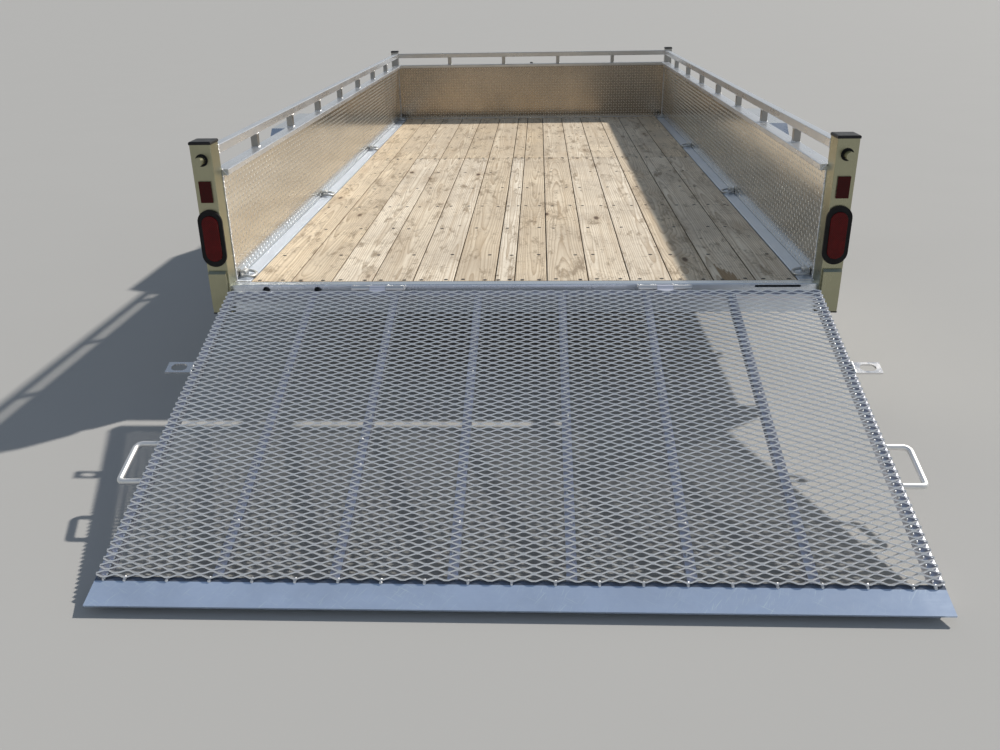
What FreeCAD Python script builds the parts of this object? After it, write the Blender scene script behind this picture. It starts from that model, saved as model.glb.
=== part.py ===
import FreeCAD, Part
import math
import os
from FreeCAD import Vector

# Utility trailer with one axle: a timber floor inside an aluminium frame, walls of sheet under an open
# rail, a ramp gate lowered behind it, and an A-shaped tongue that stands on a jack.
# Millimetres. X points right, Y forward to the coupler and Z up. The ground is Z = 0.
# Lengths along Y are first counted from the rear face of the rear posts, and the finished pieces are
# moved so that Y = 0 lies midway between the ramp's tip and the coupler's nose.

# Driving dimensions of the bed
DECK_HEIGHT = 381.0
BED_LENGTH = 4267.0
BED_INSIDE_WIDTH = 1994.0
FRAME_DEPTH = 102.0
SIDE_RAIL_WIDTH = 51.0
TUBE_WALL = 4.0
TUBE_EDGE_RADIUS = 3.0
REAR_SILL_SETBACK = 18.0
REAR_SILL_WIDTH = 38.0
FRONT_SILL_WIDTH = 60.0
LEDGE_WIDTH = 40.0
LEDGE_THICKNESS = 6.0
CROSSMEMBER_SPACING = 406.4
CROSSMEMBER_WIDTH = 50.0
SILL_HOLE_RADIUS = 13.0
SILL_HOLE_DROP = 19.0
SILL_HOLE_POST_GAPS = (120.0, 299.0)
SILL_SLOT_POST_GAP = 54.0
SILL_SLOT_LENGTH = 154.0
SILL_SLOT_HEIGHT = 8.0
SILL_SLOT_DROP = 9.0

# Floor boards. Full boards lie inward from both sides, and two narrow ones fill the middle.
BOARD_WIDTH = 140.0
BOARD_THICKNESS = 38.0
BOARD_GAP = 2.0
BOARD_EDGE_GAP = 5.0
FIRST_NARROW_BOARD = 66.0
LEAST_BOARD_WIDTH = 50.0
BOARD_JOINT_CROSSMEMBER = 6

# Walls
PANEL_THICKNESS = 4.0
MID_RAIL_TOP = 386.0
MID_RAIL_HEIGHT = 20.0
MID_RAIL_LIP = 22.0
MID_RAIL_OUTSIDE = 30.0
TOP_RAIL_TOP = 467.0
TOP_RAIL_SIZE = 30.0
RAIL_TUBE_WALL = 3.0
SPINDLE_SIZE = 25.0
SIDE_BAYS = 8
FRONT_SPINDLE_SPACING = 406.0
FRONT_SPINDLES = 4
STAKE_WIDTH = 40.0
STAKE_DEPTH = 28.0

# Posts
REAR_POST_WIDTH = 70.0
REAR_POST_DEPTH = 76.0
FRONT_POST_SIZE = 50.0
POST_TOP = 478.0
POST_DROP = 98.0
CAP_THICKNESS = 10.0
CAP_OVERHANG = 1.5
CAP_FILLET = 5.0
FOOT_CAP_HEIGHT = 5.0
BUMPER_BLOCK_WIDTH = 60.0
BUMPER_BLOCK_DEPTH = 13.0
BUMPER_BLOCK_TOP = 57.0
BUMPER_BLOCK_DROP = 75.0
BUMPER_BLOCK_CHAMFER = 9.0

# Lamps, reflectors and latch pins on the rear posts, with heights above the deck
LAMP_WIDTH = 82.0
LAMP_HEIGHT = 194.0
LAMP_CENTRE = 170.0
LAMP_RIM_DEPTH = 9.0
LAMP_FLOOR = 2.0
LENS_WIDTH = 56.0
LENS_HEIGHT = 156.0
LENS_PROUD = 4.0
LENS_FILLET = 3.0
REFLECTOR_WIDTH = 40.0
REFLECTOR_HEIGHT = 70.0
REFLECTOR_CENTRE = 326.0
REFLECTOR_DEPTH = 6.0
PIN_HEIGHT = 429.0
PIN_RADIUS = 13.5
PIN_LENGTH = 38.0
PIN_BUMPER_RADIUS = 20.0
PIN_BUMPER_DEPTH = 3.0

# Tie-down rings that lie along the floor's edges, each held by a clip beside the wall
TIE_DOWN_REAR_GAP = 125.0
TIE_DOWN_FRONT_GAP = 115.0
TIE_DOWN_COUNT = 4
TIE_RING_LENGTH = 74.0
TIE_RING_REACH = 41.0
TIE_RING_ROD = 10.0
TIE_RING_NEAR_BEND = 9.0
TIE_RING_FAR_BEND = 24.0
TIE_RING_REST = 1.0
TIE_CLIP_HEIGHT = 25.0
TIE_CLIP_LENGTH = 32.0
TIE_CLIP_DEPTH = 22.0
TIE_CLIP_FILLET = 9.0
TIE_CLIP_WALL_GAP = 3.0

# Wheels and axle
AXLE_Y = 1930.0
TYRE_RADIUS = 305.0
TYRE_WIDTH = 178.0
TYRE_SHOULDER_HALF = 76.5
TYRE_SHOULDER_DROP = 20.0
TYRE_TREAD_HALF = 66.0
TYRE_TREAD_DROP = 6.0
TYRE_CORNER_BULGE = 2.0
WHEEL_POST_GAP = 181.0
RIM_RADIUS = 165.0
RIM_WIDTH = 114.0
RIM_WALL = 4.0
RIM_FLANGE = 13.0
RIM_DROP = 18.0
RIM_WELL_HALF = 20.0
RIM_LEDGE_HALF = 34.0
RIM_DISC_OFFSET = 12.0
RIM_DISC_THICKNESS = 6.0
HAND_HOLE_RADIUS = 15.0
HAND_HOLE_CIRCLE = 118.0
HAND_HOLES = 8
BEAD_HEIGHT = 16.0
HUB_RADIUS = 46.0
HUB_FLANGE_RADIUS = 74.0
HUB_FLANGE_THICKNESS = 12.0
HUB_LENGTH = 72.0
HUB_CAP_RADIUS = 29.0
HUB_CAP_LENGTH = 36.0
HUB_CAP_FILLET = 10.0
HUB_CAP_PLAY = 1.0
SPINDLE_SHAFT_RADIUS = 20.0
AXLE_BEAM_SIZE = 76.0
AXLE_BEAM_REACH = 31.0
AXLE_SEAT_THICKNESS = 10.0
AXLE_SEAT_LENGTH = 220.0
ARM_LENGTH = 152.0
ARM_THICKNESS = 25.0
ARM_BEAM_RADIUS = 42.0
ARM_HUB_RADIUS = 34.0
RUNNING_CLEARANCE = 0.3

# Fenders
FENDER_TOP = 676.0
FENDER_REACH = 273.0
FENDER_THICKNESS = 4.0
FENDER_SKIRT = 42.0
FENDER_FLAT_HALF = 280.0
FENDER_SLOPE_RUN = 190.0
FENDER_SLOPE_DROP = 160.0
FENDER_TAIL_RUN = 48.0
FENDER_TAIL_DROP = 190.0

# Tongue, coupler and jack
TONGUE_LENGTH = 1270.0
TONGUE_HALF_ANGLE = 25.0
TONGUE_RAIL_WIDTH = 51.0
TONGUE_RAIL_DEPTH = 76.0
TONGUE_TIP_GAP = 28.0
TONGUE_TIP_SETBACK = 84.0
COUPLER_FLANGE_THICKNESS = 8.0
COUPLER_FLANGE_LENGTH = 170.0
COUPLER_SPINE_WIDTH = 56.0
COUPLER_SPINE_HEIGHT = 40.0
COUPLER_NOSE_RADIUS = 37.0
COUPLER_NOSE_FILLET = 12.0
COUPLER_NOSE_DROP = 18.0
BALL_RADIUS = 25.4
BALL_CLEARANCE = 0.5
BALL_RISE = 10.0
LATCH_WIDTH = 18.0
LATCH_LENGTH = 92.0
LATCH_HEIGHT = 12.0
LATCH_GRIP = 26.0
JACK_SETBACK = 330.0
JACK_PLATE_HALF_LENGTH = 90.0
JACK_PLATE_THICKNESS = 8.0
JACK_TUBE_RADIUS = 28.5
JACK_TUBE_WALL = 3.0
JACK_TUBE_BELOW = 95.0
JACK_TUBE_ABOVE = 300.0
JACK_HEAD_RADIUS = 33.0
JACK_HEAD_HEIGHT = 26.0
JACK_LEG_WALL = 4.0
JACK_LEG_OVERLAP = 220.0
JACK_FOOT_SIZE = 140.0
JACK_FOOT_THICKNESS = 8.0
JACK_GAP = 1.0
CRANK_SHAFT_RADIUS = 8.0
CRANK_SHAFT_RISE = 22.0
CRANK_ARM_LENGTH = 130.0
CRANK_ARM_THICKNESS = 8.0
CRANK_ARM_WIDTH = 20.0
CRANK_KNOB_RADIUS = 13.0
CRANK_KNOB_HEIGHT = 70.0
CRANK_KNOB_FILLET = 6.0

# Ramp gate. Its own lengths run from the hinge's axis, and its heights rise from that axis.
PIVOT_BEHIND_POSTS = 16.0
PIVOT_BELOW_DECK = 3.0
RAMP_LENGTH = 1302.0
RAMP_SIDE_GAP = 10.0
RAMP_START = 28.0
RAMP_TUBE = 25.0
RAMP_FRAME_TOP = 8.0
RAMP_BAYS = 7
MESH_THICKNESS = 5.0
MESH_BORDER = 14.0
MESH_COLUMNS = 10
MESH_ROWS = 13
MESH_STRAND = 9.0
MESH_LAP = 6.0
PLATE_WIDTH = 84.0
PLATE_THICKNESS = 5.0
FOOT_SETBACK = 40.0
FOOT_DEPTH = 27.0
HANDLE_START = 747.0
HANDLE_LENGTH = 159.0
HANDLE_REACH = 74.0
HANDLE_ROD_RADIUS = 8.0
HANDLE_UPPER_BEND = 20.0
HANDLE_LOWER_BEND = 11.0
BRACKET_LENGTH = 49.0
BRACKET_OVERHANG = 3.0
BRACKET_THICKNESS = 6.0
BRACKET_SLOT_LENGTH = 48.0
BRACKET_PLAY = 2.5
HINGE_CENTRE_X = 484.0
KNUCKLE_LENGTH = 61.0
KNUCKLE_GAP = 56.0
KNUCKLE_RADIUS = 10.0
KNUCKLE_PLAY = 1.0
HINGE_PIN_RADIUS = 6.0
HINGE_LEAF_THICKNESS = 8.0

# Places worked out from the sizes above
POST_INNER_X = BED_INSIDE_WIDTH / 2
POST_CENTRE_X = POST_INNER_X + REAR_POST_WIDTH / 2
PANEL_OUTER_X = POST_INNER_X + PANEL_THICKNESS
FLOOR_HALF_WIDTH = POST_INNER_X - SIDE_RAIL_WIDTH
BOARDS_HALF_WIDTH = FLOOR_HALF_WIDTH - BOARD_EDGE_GAP
FRAME_BOTTOM = DECK_HEIGHT - FRAME_DEPTH
FRONT_INNER_Y = BED_LENGTH - FRONT_POST_SIZE
FLOOR_REAR_Y = REAR_SILL_SETBACK + REAR_SILL_WIDTH
FLOOR_FRONT_Y = FRONT_INNER_Y - FRONT_SILL_WIDTH
PANEL_TOP = DECK_HEIGHT + MID_RAIL_TOP - MID_RAIL_HEIGHT
MID_RAIL_INNER_X = POST_INNER_X - MID_RAIL_LIP
MID_RAIL_OUTER_X = POST_INNER_X + MID_RAIL_OUTSIDE
COUPLER_Y = BED_LENGTH + TONGUE_LENGTH
TONGUE_TOP = FRAME_BOTTOM
BALL_Z = TONGUE_TOP + BALL_RISE
JACK_Y = COUPLER_Y - JACK_SETBACK
PIVOT_Y = -PIVOT_BEHIND_POSTS
PIVOT_Z = DECK_HEIGHT - PIVOT_BELOW_DECK
RAMP_HALF_WIDTH = POST_INNER_X - RAMP_SIDE_GAP
RAMP_BOTTOM = RAMP_FRAME_TOP - RAMP_TUBE
RAMP_TOP = RAMP_FRAME_TOP + MESH_THICKNESS
RAMP_FOOT = RAMP_LENGTH - FOOT_SETBACK
RAMP_REACH = math.hypot(RAMP_FOOT, FOOT_DEPTH)
RAMP_SLOPE = math.degrees(math.asin(PIVOT_Z / RAMP_REACH) - math.atan(FOOT_DEPTH / RAMP_FOOT))
RAMP_SINE = math.sin(math.radians(RAMP_SLOPE))
RAMP_COSINE = math.cos(math.radians(RAMP_SLOPE))
RAMP_TIP_Y = PIVOT_Y - RAMP_LENGTH * RAMP_COSINE - RAMP_FRAME_TOP * RAMP_SINE
NOSE_Y = COUPLER_Y + COUPLER_NOSE_RADIUS
LENGTH_MIDDLE = (RAMP_TIP_Y + NOSE_Y) / 2
WHEEL_CENTRE_X = POST_INNER_X + WHEEL_POST_GAP
FENDER_OUTER_X = POST_INNER_X + FENDER_REACH
AXLE_BEAM_HALF = POST_INNER_X + AXLE_BEAM_REACH
AXLE_BEAM_TOP = FRAME_BOTTOM - AXLE_SEAT_THICKNESS
AXLE_BEAM_Z = AXLE_BEAM_TOP - AXLE_BEAM_SIZE / 2
ARM_RUN = math.sqrt(ARM_LENGTH ** 2 - (TYRE_RADIUS - AXLE_BEAM_Z) ** 2)
AXLE_BEAM_Y = AXLE_Y + ARM_RUN

ORIGIN = Vector(0, 0, 0)
X_AXIS = Vector(1, 0, 0)
Y_AXIS = Vector(0, 1, 0)
Z_AXIS = Vector(0, 0, 1)
AXES = {"x": X_AXIS, "y": Y_AXIS, "z": Z_AXIS}

# Millimetres that a cutter reaches past what it cuts, and within which an edge counts as being at a place
OVERRUN = 1.0

nodes = {}


def box(x0, x1, y0, y1, z0, z1):
    """A block between two corners."""
    return Part.makeBox(x1 - x0, y1 - y0, z1 - z0, Vector(x0, y0, z0))


def tube(x0, x1, y0, y1, z0, z1, along, wall=TUBE_WALL, capped=False):
    """A rectangular tube with rounded edges, open at both ends or capped at its first one."""
    dx, dy, dz = {"x": (0, wall, wall), "y": (wall, 0, wall), "z": (wall, wall, 0)}[along]
    bore = box(x0 + dx, x1 - dx, y0 + dy, y1 - dy, z0 + dz, z1 - dz)
    if capped:
        bore.translate(AXES[along] * wall)
    block = box(x0, x1, y0, y1, z0, z1)
    lengthwise = [edge for edge in block.Edges
                  if round(abs(edge.tangentAt(edge.FirstParameter).dot(AXES[along]))) == 1]
    return block.makeFillet(TUBE_EDGE_RADIUS, lengthwise).cut(bore)


def rod(radius, start, end):
    """A round bar between two points."""
    run = end - start
    return Part.makeCylinder(radius, run.Length, start, run)


def mirrored(shape):
    """The same piece on the other side of the trailer."""
    return shape.mirror(ORIGIN, X_AXIS)


def both_sides(shape):
    """A right-hand piece and its left-hand twin."""
    return [mirrored(shape), shape]


def fused(shapes):
    """Several overlapping shapes welded into one solid."""
    return shapes[0].multiFuse(shapes[1:]).removeSplitter()


def add(name, shapes):
    """Keep one node, from one solid or a list of solids that stay apart."""
    nodes[name] = Part.makeCompound(shapes) if isinstance(shapes, list) else shapes


def add_pair(name, right_shape):
    """Keep a node for each side of the trailer."""
    add(name + "_right", right_shape)
    add(name + "_left", mirrored(right_shape))


def evenly(first, last, count):
    """Places from first to last, evenly spaced."""
    step = (last - first) / (count - 1)
    return [first + step * index for index in range(count)]


def stadium(width, height, depth, centre):
    """An upright slot shape with round ends that faces rearward; centre is in its front plane."""
    radius = width / 2
    straight = height / 2 - radius
    body = box(-radius, radius, -depth, 0, -straight, straight)
    ends = [rod(radius, Vector(0, -depth, z), Vector(0, 0, z)) for z in (-straight, straight)]
    shape = fused([body] + ends)
    shape.translate(centre)
    return shape


def side_rails():
    """Box rails along both edges of the floor."""
    rail = tube(FLOOR_HALF_WIDTH, POST_INNER_X, FLOOR_REAR_Y, FRONT_INNER_Y,
                FRAME_BOTTOM, DECK_HEIGHT, "y")
    add("side_rails", both_sides(rail))


def sill_holes(y0, y1):
    """Cutters for two round holes at the left of the sill and a long slot at its right."""
    z = DECK_HEIGHT - SILL_HOLE_DROP
    places = [gap - POST_INNER_X for gap in SILL_HOLE_POST_GAPS]
    cutters = [rod(SILL_HOLE_RADIUS, Vector(x, y0, z), Vector(x, y1, z)) for x in places]
    z = DECK_HEIGHT - SILL_SLOT_DROP
    end_radius = SILL_SLOT_HEIGHT / 2
    x1 = POST_INNER_X - SILL_SLOT_POST_GAP - end_radius
    x0 = x1 - SILL_SLOT_LENGTH + SILL_SLOT_HEIGHT
    ends = [rod(end_radius, Vector(x, y0, z), Vector(x, y1, z)) for x in (x0, x1)]
    cutters.append(fused([box(x0, x1, y0, y1, z - end_radius, z + end_radius)] + ends))
    return Part.makeCompound(cutters)


def rear_sill():
    """The cross tube behind the floor, with a ledge for the boards and openings in its rear face."""
    y0, y1 = REAR_SILL_SETBACK, FLOOR_REAR_Y
    sill = tube(-POST_INNER_X, POST_INNER_X, y0, y1, FRAME_BOTTOM, DECK_HEIGHT, "x")
    under_boards = DECK_HEIGHT - BOARD_THICKNESS
    ledge = box(-FLOOR_HALF_WIDTH, FLOOR_HALF_WIDTH, y1 - TUBE_WALL, y1 + LEDGE_WIDTH,
                under_boards - LEDGE_THICKNESS, under_boards)
    add("rear_sill", fused([sill, ledge]).cut(sill_holes(y0 - OVERRUN, y0 + TUBE_WALL + OVERRUN)))


def front_sill():
    """The cross tube at the front of the floor, with a ledge for the boards."""
    under_boards = DECK_HEIGHT - BOARD_THICKNESS
    sill = tube(-FLOOR_HALF_WIDTH, FLOOR_HALF_WIDTH, FLOOR_FRONT_Y, FRONT_INNER_Y,
                FRAME_BOTTOM, DECK_HEIGHT, "x")
    ledge = box(-FLOOR_HALF_WIDTH, FLOOR_HALF_WIDTH, FLOOR_FRONT_Y - LEDGE_WIDTH,
                FLOOR_FRONT_Y + TUBE_WALL, under_boards - LEDGE_THICKNESS, under_boards)
    add("front_sill", fused([sill, ledge]))


def crossmember_places():
    """Middles of the crossmembers, counted forward from the rear posts."""
    last = FLOOR_FRONT_Y - LEDGE_WIDTH - CROSSMEMBER_WIDTH
    count = int(last / CROSSMEMBER_SPACING)
    return [CROSSMEMBER_SPACING * (index + 1) for index in range(count)]


def crossmembers():
    """Channels under the boards, open to the rear."""
    top = DECK_HEIGHT - BOARD_THICKNESS
    channels = []
    for y in crossmember_places():
        y0, y1 = y - CROSSMEMBER_WIDTH / 2, y + CROSSMEMBER_WIDTH / 2
        block = box(-FLOOR_HALF_WIDTH, FLOOR_HALF_WIDTH, y0, y1, FRAME_BOTTOM, top)
        hollow = box(-FLOOR_HALF_WIDTH, FLOOR_HALF_WIDTH, y0, y1 - TUBE_WALL,
                     FRAME_BOTTOM + TUBE_WALL, top - TUBE_WALL)
        channels.append(block.cut(hollow))
    add("crossmembers", channels)


def board_spans():
    """Left and right edges of every floor board."""
    pitch = BOARD_WIDTH + BOARD_GAP
    each_side = int((BOARDS_HALF_WIDTH - LEAST_BOARD_WIDTH) / pitch)
    spans = []
    for index in range(each_side):
        start = pitch * index - BOARDS_HALF_WIDTH
        spans.append((start, start + BOARD_WIDTH))
        spans.append((-start - BOARD_WIDTH, -start))
    middle = pitch * each_side - BOARDS_HALF_WIDTH
    spans.append((middle, middle + FIRST_NARROW_BOARD))
    spans.append((middle + FIRST_NARROW_BOARD + BOARD_GAP, -middle))
    return sorted(spans)


def deck_boards():
    """Two lengths of planks that meet over a crossmember."""
    joint = CROSSMEMBER_SPACING * BOARD_JOINT_CROSSMEMBER
    half_gap = BOARD_GAP / 2
    lengths = ((FLOOR_REAR_Y, joint - half_gap), (joint + half_gap, FLOOR_FRONT_Y))
    bottom = DECK_HEIGHT - BOARD_THICKNESS
    boards = []
    for x0, x1 in board_spans():
        for y0, y1 in lengths:
            boards.append(box(x0, x1, y0, y1, bottom, DECK_HEIGHT))
    add("deck_boards", boards)


def wall_panels():
    """Sheet walls outside the frame, from its lower edge to the mid rail."""
    side = box(POST_INNER_X, PANEL_OUTER_X, REAR_POST_DEPTH, FRONT_INNER_Y, FRAME_BOTTOM, PANEL_TOP)
    add_pair("side_panel", side)
    front = box(-POST_INNER_X, POST_INNER_X, FRONT_INNER_Y, FRONT_INNER_Y + PANEL_THICKNESS,
                FRAME_BOTTOM, PANEL_TOP)
    add("front_panel", front)


def mid_rails():
    """Flat tubes that cap the sheets, with a lip toward the load."""
    top = DECK_HEIGHT + MID_RAIL_TOP
    side = tube(MID_RAIL_INNER_X, MID_RAIL_OUTER_X, REAR_POST_DEPTH, FRONT_INNER_Y, PANEL_TOP, top,
                "y", RAIL_TUBE_WALL, capped=True)
    add_pair("mid_rail", side)
    front = tube(-POST_INNER_X, POST_INNER_X, FRONT_INNER_Y - MID_RAIL_LIP,
                 FRONT_INNER_Y + MID_RAIL_OUTSIDE, PANEL_TOP, top, "x", RAIL_TUBE_WALL)
    corner = box(MID_RAIL_INNER_X, POST_INNER_X, FRONT_INNER_Y - MID_RAIL_LIP, FRONT_INNER_Y,
                 PANEL_TOP, top)
    add("mid_rail_front", front.cut(Part.makeCompound(both_sides(corner))))


def top_rails():
    """The open rail around the bed."""
    top = DECK_HEIGHT + TOP_RAIL_TOP
    bottom = top - TOP_RAIL_SIZE
    side = tube(POST_INNER_X, POST_INNER_X + TOP_RAIL_SIZE, REAR_POST_DEPTH, FRONT_INNER_Y,
                bottom, top, "y", RAIL_TUBE_WALL)
    add_pair("top_rail", side)
    front = tube(-POST_INNER_X, POST_INNER_X, FRONT_INNER_Y, FRONT_INNER_Y + TOP_RAIL_SIZE,
                 bottom, top, "x", RAIL_TUBE_WALL)
    add("top_rail_front", front)


def side_spindle_places():
    """Middles of the short uprights of a side rail, one at each division into equal bays."""
    pitch = FRONT_INNER_Y / SIDE_BAYS
    return [pitch * index for index in range(1, SIDE_BAYS)]


def front_spindle_places():
    """Middles of the short uprights across the front."""
    half = FRONT_SPINDLE_SPACING * (FRONT_SPINDLES - 1) / 2
    return evenly(-half, half, FRONT_SPINDLES)


def spindles():
    """Short uprights between the mid rail and the top rail."""
    z0 = DECK_HEIGHT + MID_RAIL_TOP
    z1 = DECK_HEIGHT + TOP_RAIL_TOP - TOP_RAIL_SIZE
    half = SPINDLE_SIZE / 2
    pieces = []
    side_x = POST_INNER_X + TOP_RAIL_SIZE / 2
    for y in side_spindle_places():
        piece = box(side_x - half, side_x + half, y - half, y + half, z0, z1)
        pieces.extend(both_sides(piece))
    front_y = FRONT_INNER_Y + MID_RAIL_OUTSIDE - SPINDLE_SIZE / 2
    for x in front_spindle_places():
        pieces.append(box(x - half, x + half, front_y - half, front_y + half, z0, z1))
    add("spindles", pieces)


def wall_stakes():
    """Uprights outside the sheets, clear of the fenders."""
    reach = FENDER_FLAT_HALF + FENDER_SLOPE_RUN + FENDER_TAIL_RUN + STAKE_WIDTH
    half = STAKE_WIDTH / 2
    pieces = []
    for y in side_spindle_places():
        if abs(y - AXLE_Y) < reach:
            continue
        piece = box(PANEL_OUTER_X, PANEL_OUTER_X + STAKE_DEPTH, y - half, y + half,
                    FRAME_BOTTOM, PANEL_TOP)
        pieces.extend(both_sides(piece))
    front_y = FRONT_INNER_Y + PANEL_THICKNESS
    for x in front_spindle_places():
        pieces.append(box(x - half, x + half, front_y, front_y + STAKE_DEPTH, FRAME_BOTTOM, PANEL_TOP))
    add("wall_stakes", pieces)


def rear_posts():
    """Box posts at the rear corners, open below their top caps."""
    post = tube(POST_INNER_X, POST_INNER_X + REAR_POST_WIDTH, 0, REAR_POST_DEPTH,
                DECK_HEIGHT - POST_DROP + FOOT_CAP_HEIGHT, DECK_HEIGHT + POST_TOP, "z")
    add_pair("rear_post", post)


def front_posts():
    """Square posts at the front corners."""
    post = tube(POST_INNER_X, POST_INNER_X + FRONT_POST_SIZE, FRONT_INNER_Y, BED_LENGTH,
                FRAME_BOTTOM, DECK_HEIGHT + POST_TOP, "z")
    add("front_posts", both_sides(post))


def top_cap(x0, x1, y0, y1):
    """A plastic cap over a post's end, with its upper edges rounded."""
    z0 = DECK_HEIGHT + POST_TOP
    cap = box(x0 - CAP_OVERHANG, x1 + CAP_OVERHANG, y0 - CAP_OVERHANG, y1 + CAP_OVERHANG,
              z0, z0 + CAP_THICKNESS)
    upper = [edge for edge in cap.Edges if edge.BoundBox.ZMin > z0 + CAP_THICKNESS / 2]
    return cap.makeFillet(CAP_FILLET, upper)


def post_caps():
    """Caps on top of the four posts, and the blocks under the rear posts."""
    rear = top_cap(POST_INNER_X, POST_INNER_X + REAR_POST_WIDTH, 0, REAR_POST_DEPTH)
    front = top_cap(POST_INNER_X, POST_INNER_X + FRONT_POST_SIZE, FRONT_INNER_Y, BED_LENGTH)
    bottom = DECK_HEIGHT - POST_DROP
    foot = box(POST_INNER_X, POST_INNER_X + REAR_POST_WIDTH, 0, REAR_POST_DEPTH,
               bottom, bottom + FOOT_CAP_HEIGHT)
    add("post_caps", both_sides(rear) + both_sides(front) + both_sides(foot))


def bumper_blocks():
    """Short tubes on the lower rear faces of the rear posts, with a sloping top."""
    half = BUMPER_BLOCK_WIDTH / 2
    top = DECK_HEIGHT + BUMPER_BLOCK_TOP
    bottom = DECK_HEIGHT - BUMPER_BLOCK_DROP
    block = box(POST_CENTRE_X - half, POST_CENTRE_X + half, -BUMPER_BLOCK_DEPTH, 0, bottom, top)
    edges = [edge for edge in block.Edges
             if edge.BoundBox.ZMin > top - OVERRUN and edge.BoundBox.YMax < OVERRUN - BUMPER_BLOCK_DEPTH]
    add("bumper_blocks", both_sides(block.makeChamfer(BUMPER_BLOCK_CHAMFER, edges)))


def tail_lamps():
    """Oval tail lamps: a soft rim with a pocket, and a red lens in it, with a reflector above."""
    centre = Vector(POST_CENTRE_X, 0, DECK_HEIGHT + LAMP_CENTRE)
    rim = stadium(LAMP_WIDTH, LAMP_HEIGHT, LAMP_RIM_DEPTH, centre)
    floor = centre - Y_AXIS * LAMP_FLOOR
    play = 2 * RUNNING_CLEARANCE
    pocket = stadium(LENS_WIDTH + play, LENS_HEIGHT + play, LAMP_RIM_DEPTH, floor)
    add("lamp_rims", both_sides(rim.cut(pocket)))
    depth = LAMP_RIM_DEPTH - LAMP_FLOOR + LENS_PROUD
    lens = stadium(LENS_WIDTH, LENS_HEIGHT, depth, floor)
    outer = [edge for edge in lens.Edges if edge.BoundBox.YMax < floor.y - depth + OVERRUN]
    lens = lens.makeFillet(LENS_FILLET, outer)
    z = DECK_HEIGHT + REFLECTOR_CENTRE
    reflector = box(POST_CENTRE_X - REFLECTOR_WIDTH / 2, POST_CENTRE_X + REFLECTOR_WIDTH / 2,
                    -REFLECTOR_DEPTH, 0, z - REFLECTOR_HEIGHT / 2, z + REFLECTOR_HEIGHT / 2)
    add("rear_lenses", both_sides(lens) + both_sides(reflector))


def latch_pins():
    """Stub pins on the rear posts that the gate's brackets drop over, with a rubber ring each."""
    z = DECK_HEIGHT + PIN_HEIGHT
    pin = rod(PIN_RADIUS, Vector(POST_CENTRE_X, 0, z), Vector(POST_CENTRE_X, -PIN_LENGTH, z))
    add("latch_pins", both_sides(pin))
    ring = rod(PIN_BUMPER_RADIUS, Vector(POST_CENTRE_X, 0, z), Vector(POST_CENTRE_X, -PIN_BUMPER_DEPTH, z))
    bore = rod(PIN_RADIUS + RUNNING_CLEARANCE, Vector(POST_CENTRE_X, OVERRUN, z),
               Vector(POST_CENTRE_X, -PIN_LENGTH, z))
    add("pin_bumpers", both_sides(ring.cut(bore)))


def rounded_loop(x0, x1, half_y, near_bend, far_bend, z):
    """A closed path in a level plane, with wider bends at its x0 end than at its x1 end."""
    def corner(x, y, bend, toward_x, toward_y):
        """Start, middle and end of a bend that leaves along Y and arrives along X."""
        short = bend * (1 - math.sqrt(0.5))
        return (Vector(x, y - toward_y * bend, z), Vector(x - toward_x * short, y - toward_y * short, z),
                Vector(x - toward_x * bend, y, z))
    near_high = corner(x1, half_y, near_bend, 1, 1)
    far_high = corner(x0, half_y, far_bend, -1, 1)[::-1]
    far_low = corner(x0, -half_y, far_bend, -1, -1)
    near_low = corner(x1, -half_y, near_bend, 1, -1)[::-1]
    edges = []
    bends = (near_high, far_high, far_low, near_low)
    for index, bend in enumerate(bends):
        edges.append(Part.Arc(*bend).toShape())
        edges.append(Part.makeLine(bend[2], bends[(index + 1) % len(bends)][0]))
    return Part.Wire(edges)


def tie_downs():
    """Rings of round bar that droop onto the floor's edges from clips beside the walls."""
    clip_x1 = POST_INNER_X - TIE_CLIP_WALL_GAP
    clip_x0 = clip_x1 - TIE_CLIP_DEPTH
    half = TIE_CLIP_LENGTH / 2
    clip = box(clip_x0, clip_x1, -half, half, DECK_HEIGHT, DECK_HEIGHT + TIE_CLIP_HEIGHT)
    upper = [edge for edge in clip.Edges
             if edge.BoundBox.ZMin > DECK_HEIGHT + TIE_CLIP_HEIGHT - OVERRUN
             and edge.BoundBox.YLength > OVERRUN]
    clip = clip.makeFillet(TIE_CLIP_FILLET, upper)
    radius = TIE_RING_ROD / 2
    hinge_x = (clip_x0 + clip_x1) / 2
    hinge_z = DECK_HEIGHT + TIE_CLIP_HEIGHT / 2
    rest_z = DECK_HEIGHT + TIE_RING_REST + radius
    half_y = TIE_RING_LENGTH / 2 - radius
    path = rounded_loop(hinge_x - TIE_RING_REACH, hinge_x, half_y, TIE_RING_NEAR_BEND,
                        TIE_RING_FAR_BEND, hinge_z)
    start = path.Edges[1].Vertexes[0].Point
    circle = Part.Wire(Part.makeCircle(radius, start, X_AXIS))
    ring = path.makePipeShell([circle], True, True)
    droop = math.degrees(math.asin((hinge_z - rest_z) / TIE_RING_REACH))
    ring.rotate(Vector(hinge_x, 0, hinge_z), Y_AXIS, -droop)
    loop = fused([clip, ring])
    loops = []
    for y in evenly(TIE_DOWN_REAR_GAP, FRONT_INNER_Y - TIE_DOWN_FRONT_GAP, TIE_DOWN_COUNT):
        loops.extend(both_sides(loop.translated(Vector(0, y, 0))))
    add("tie_downs", loops)


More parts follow.
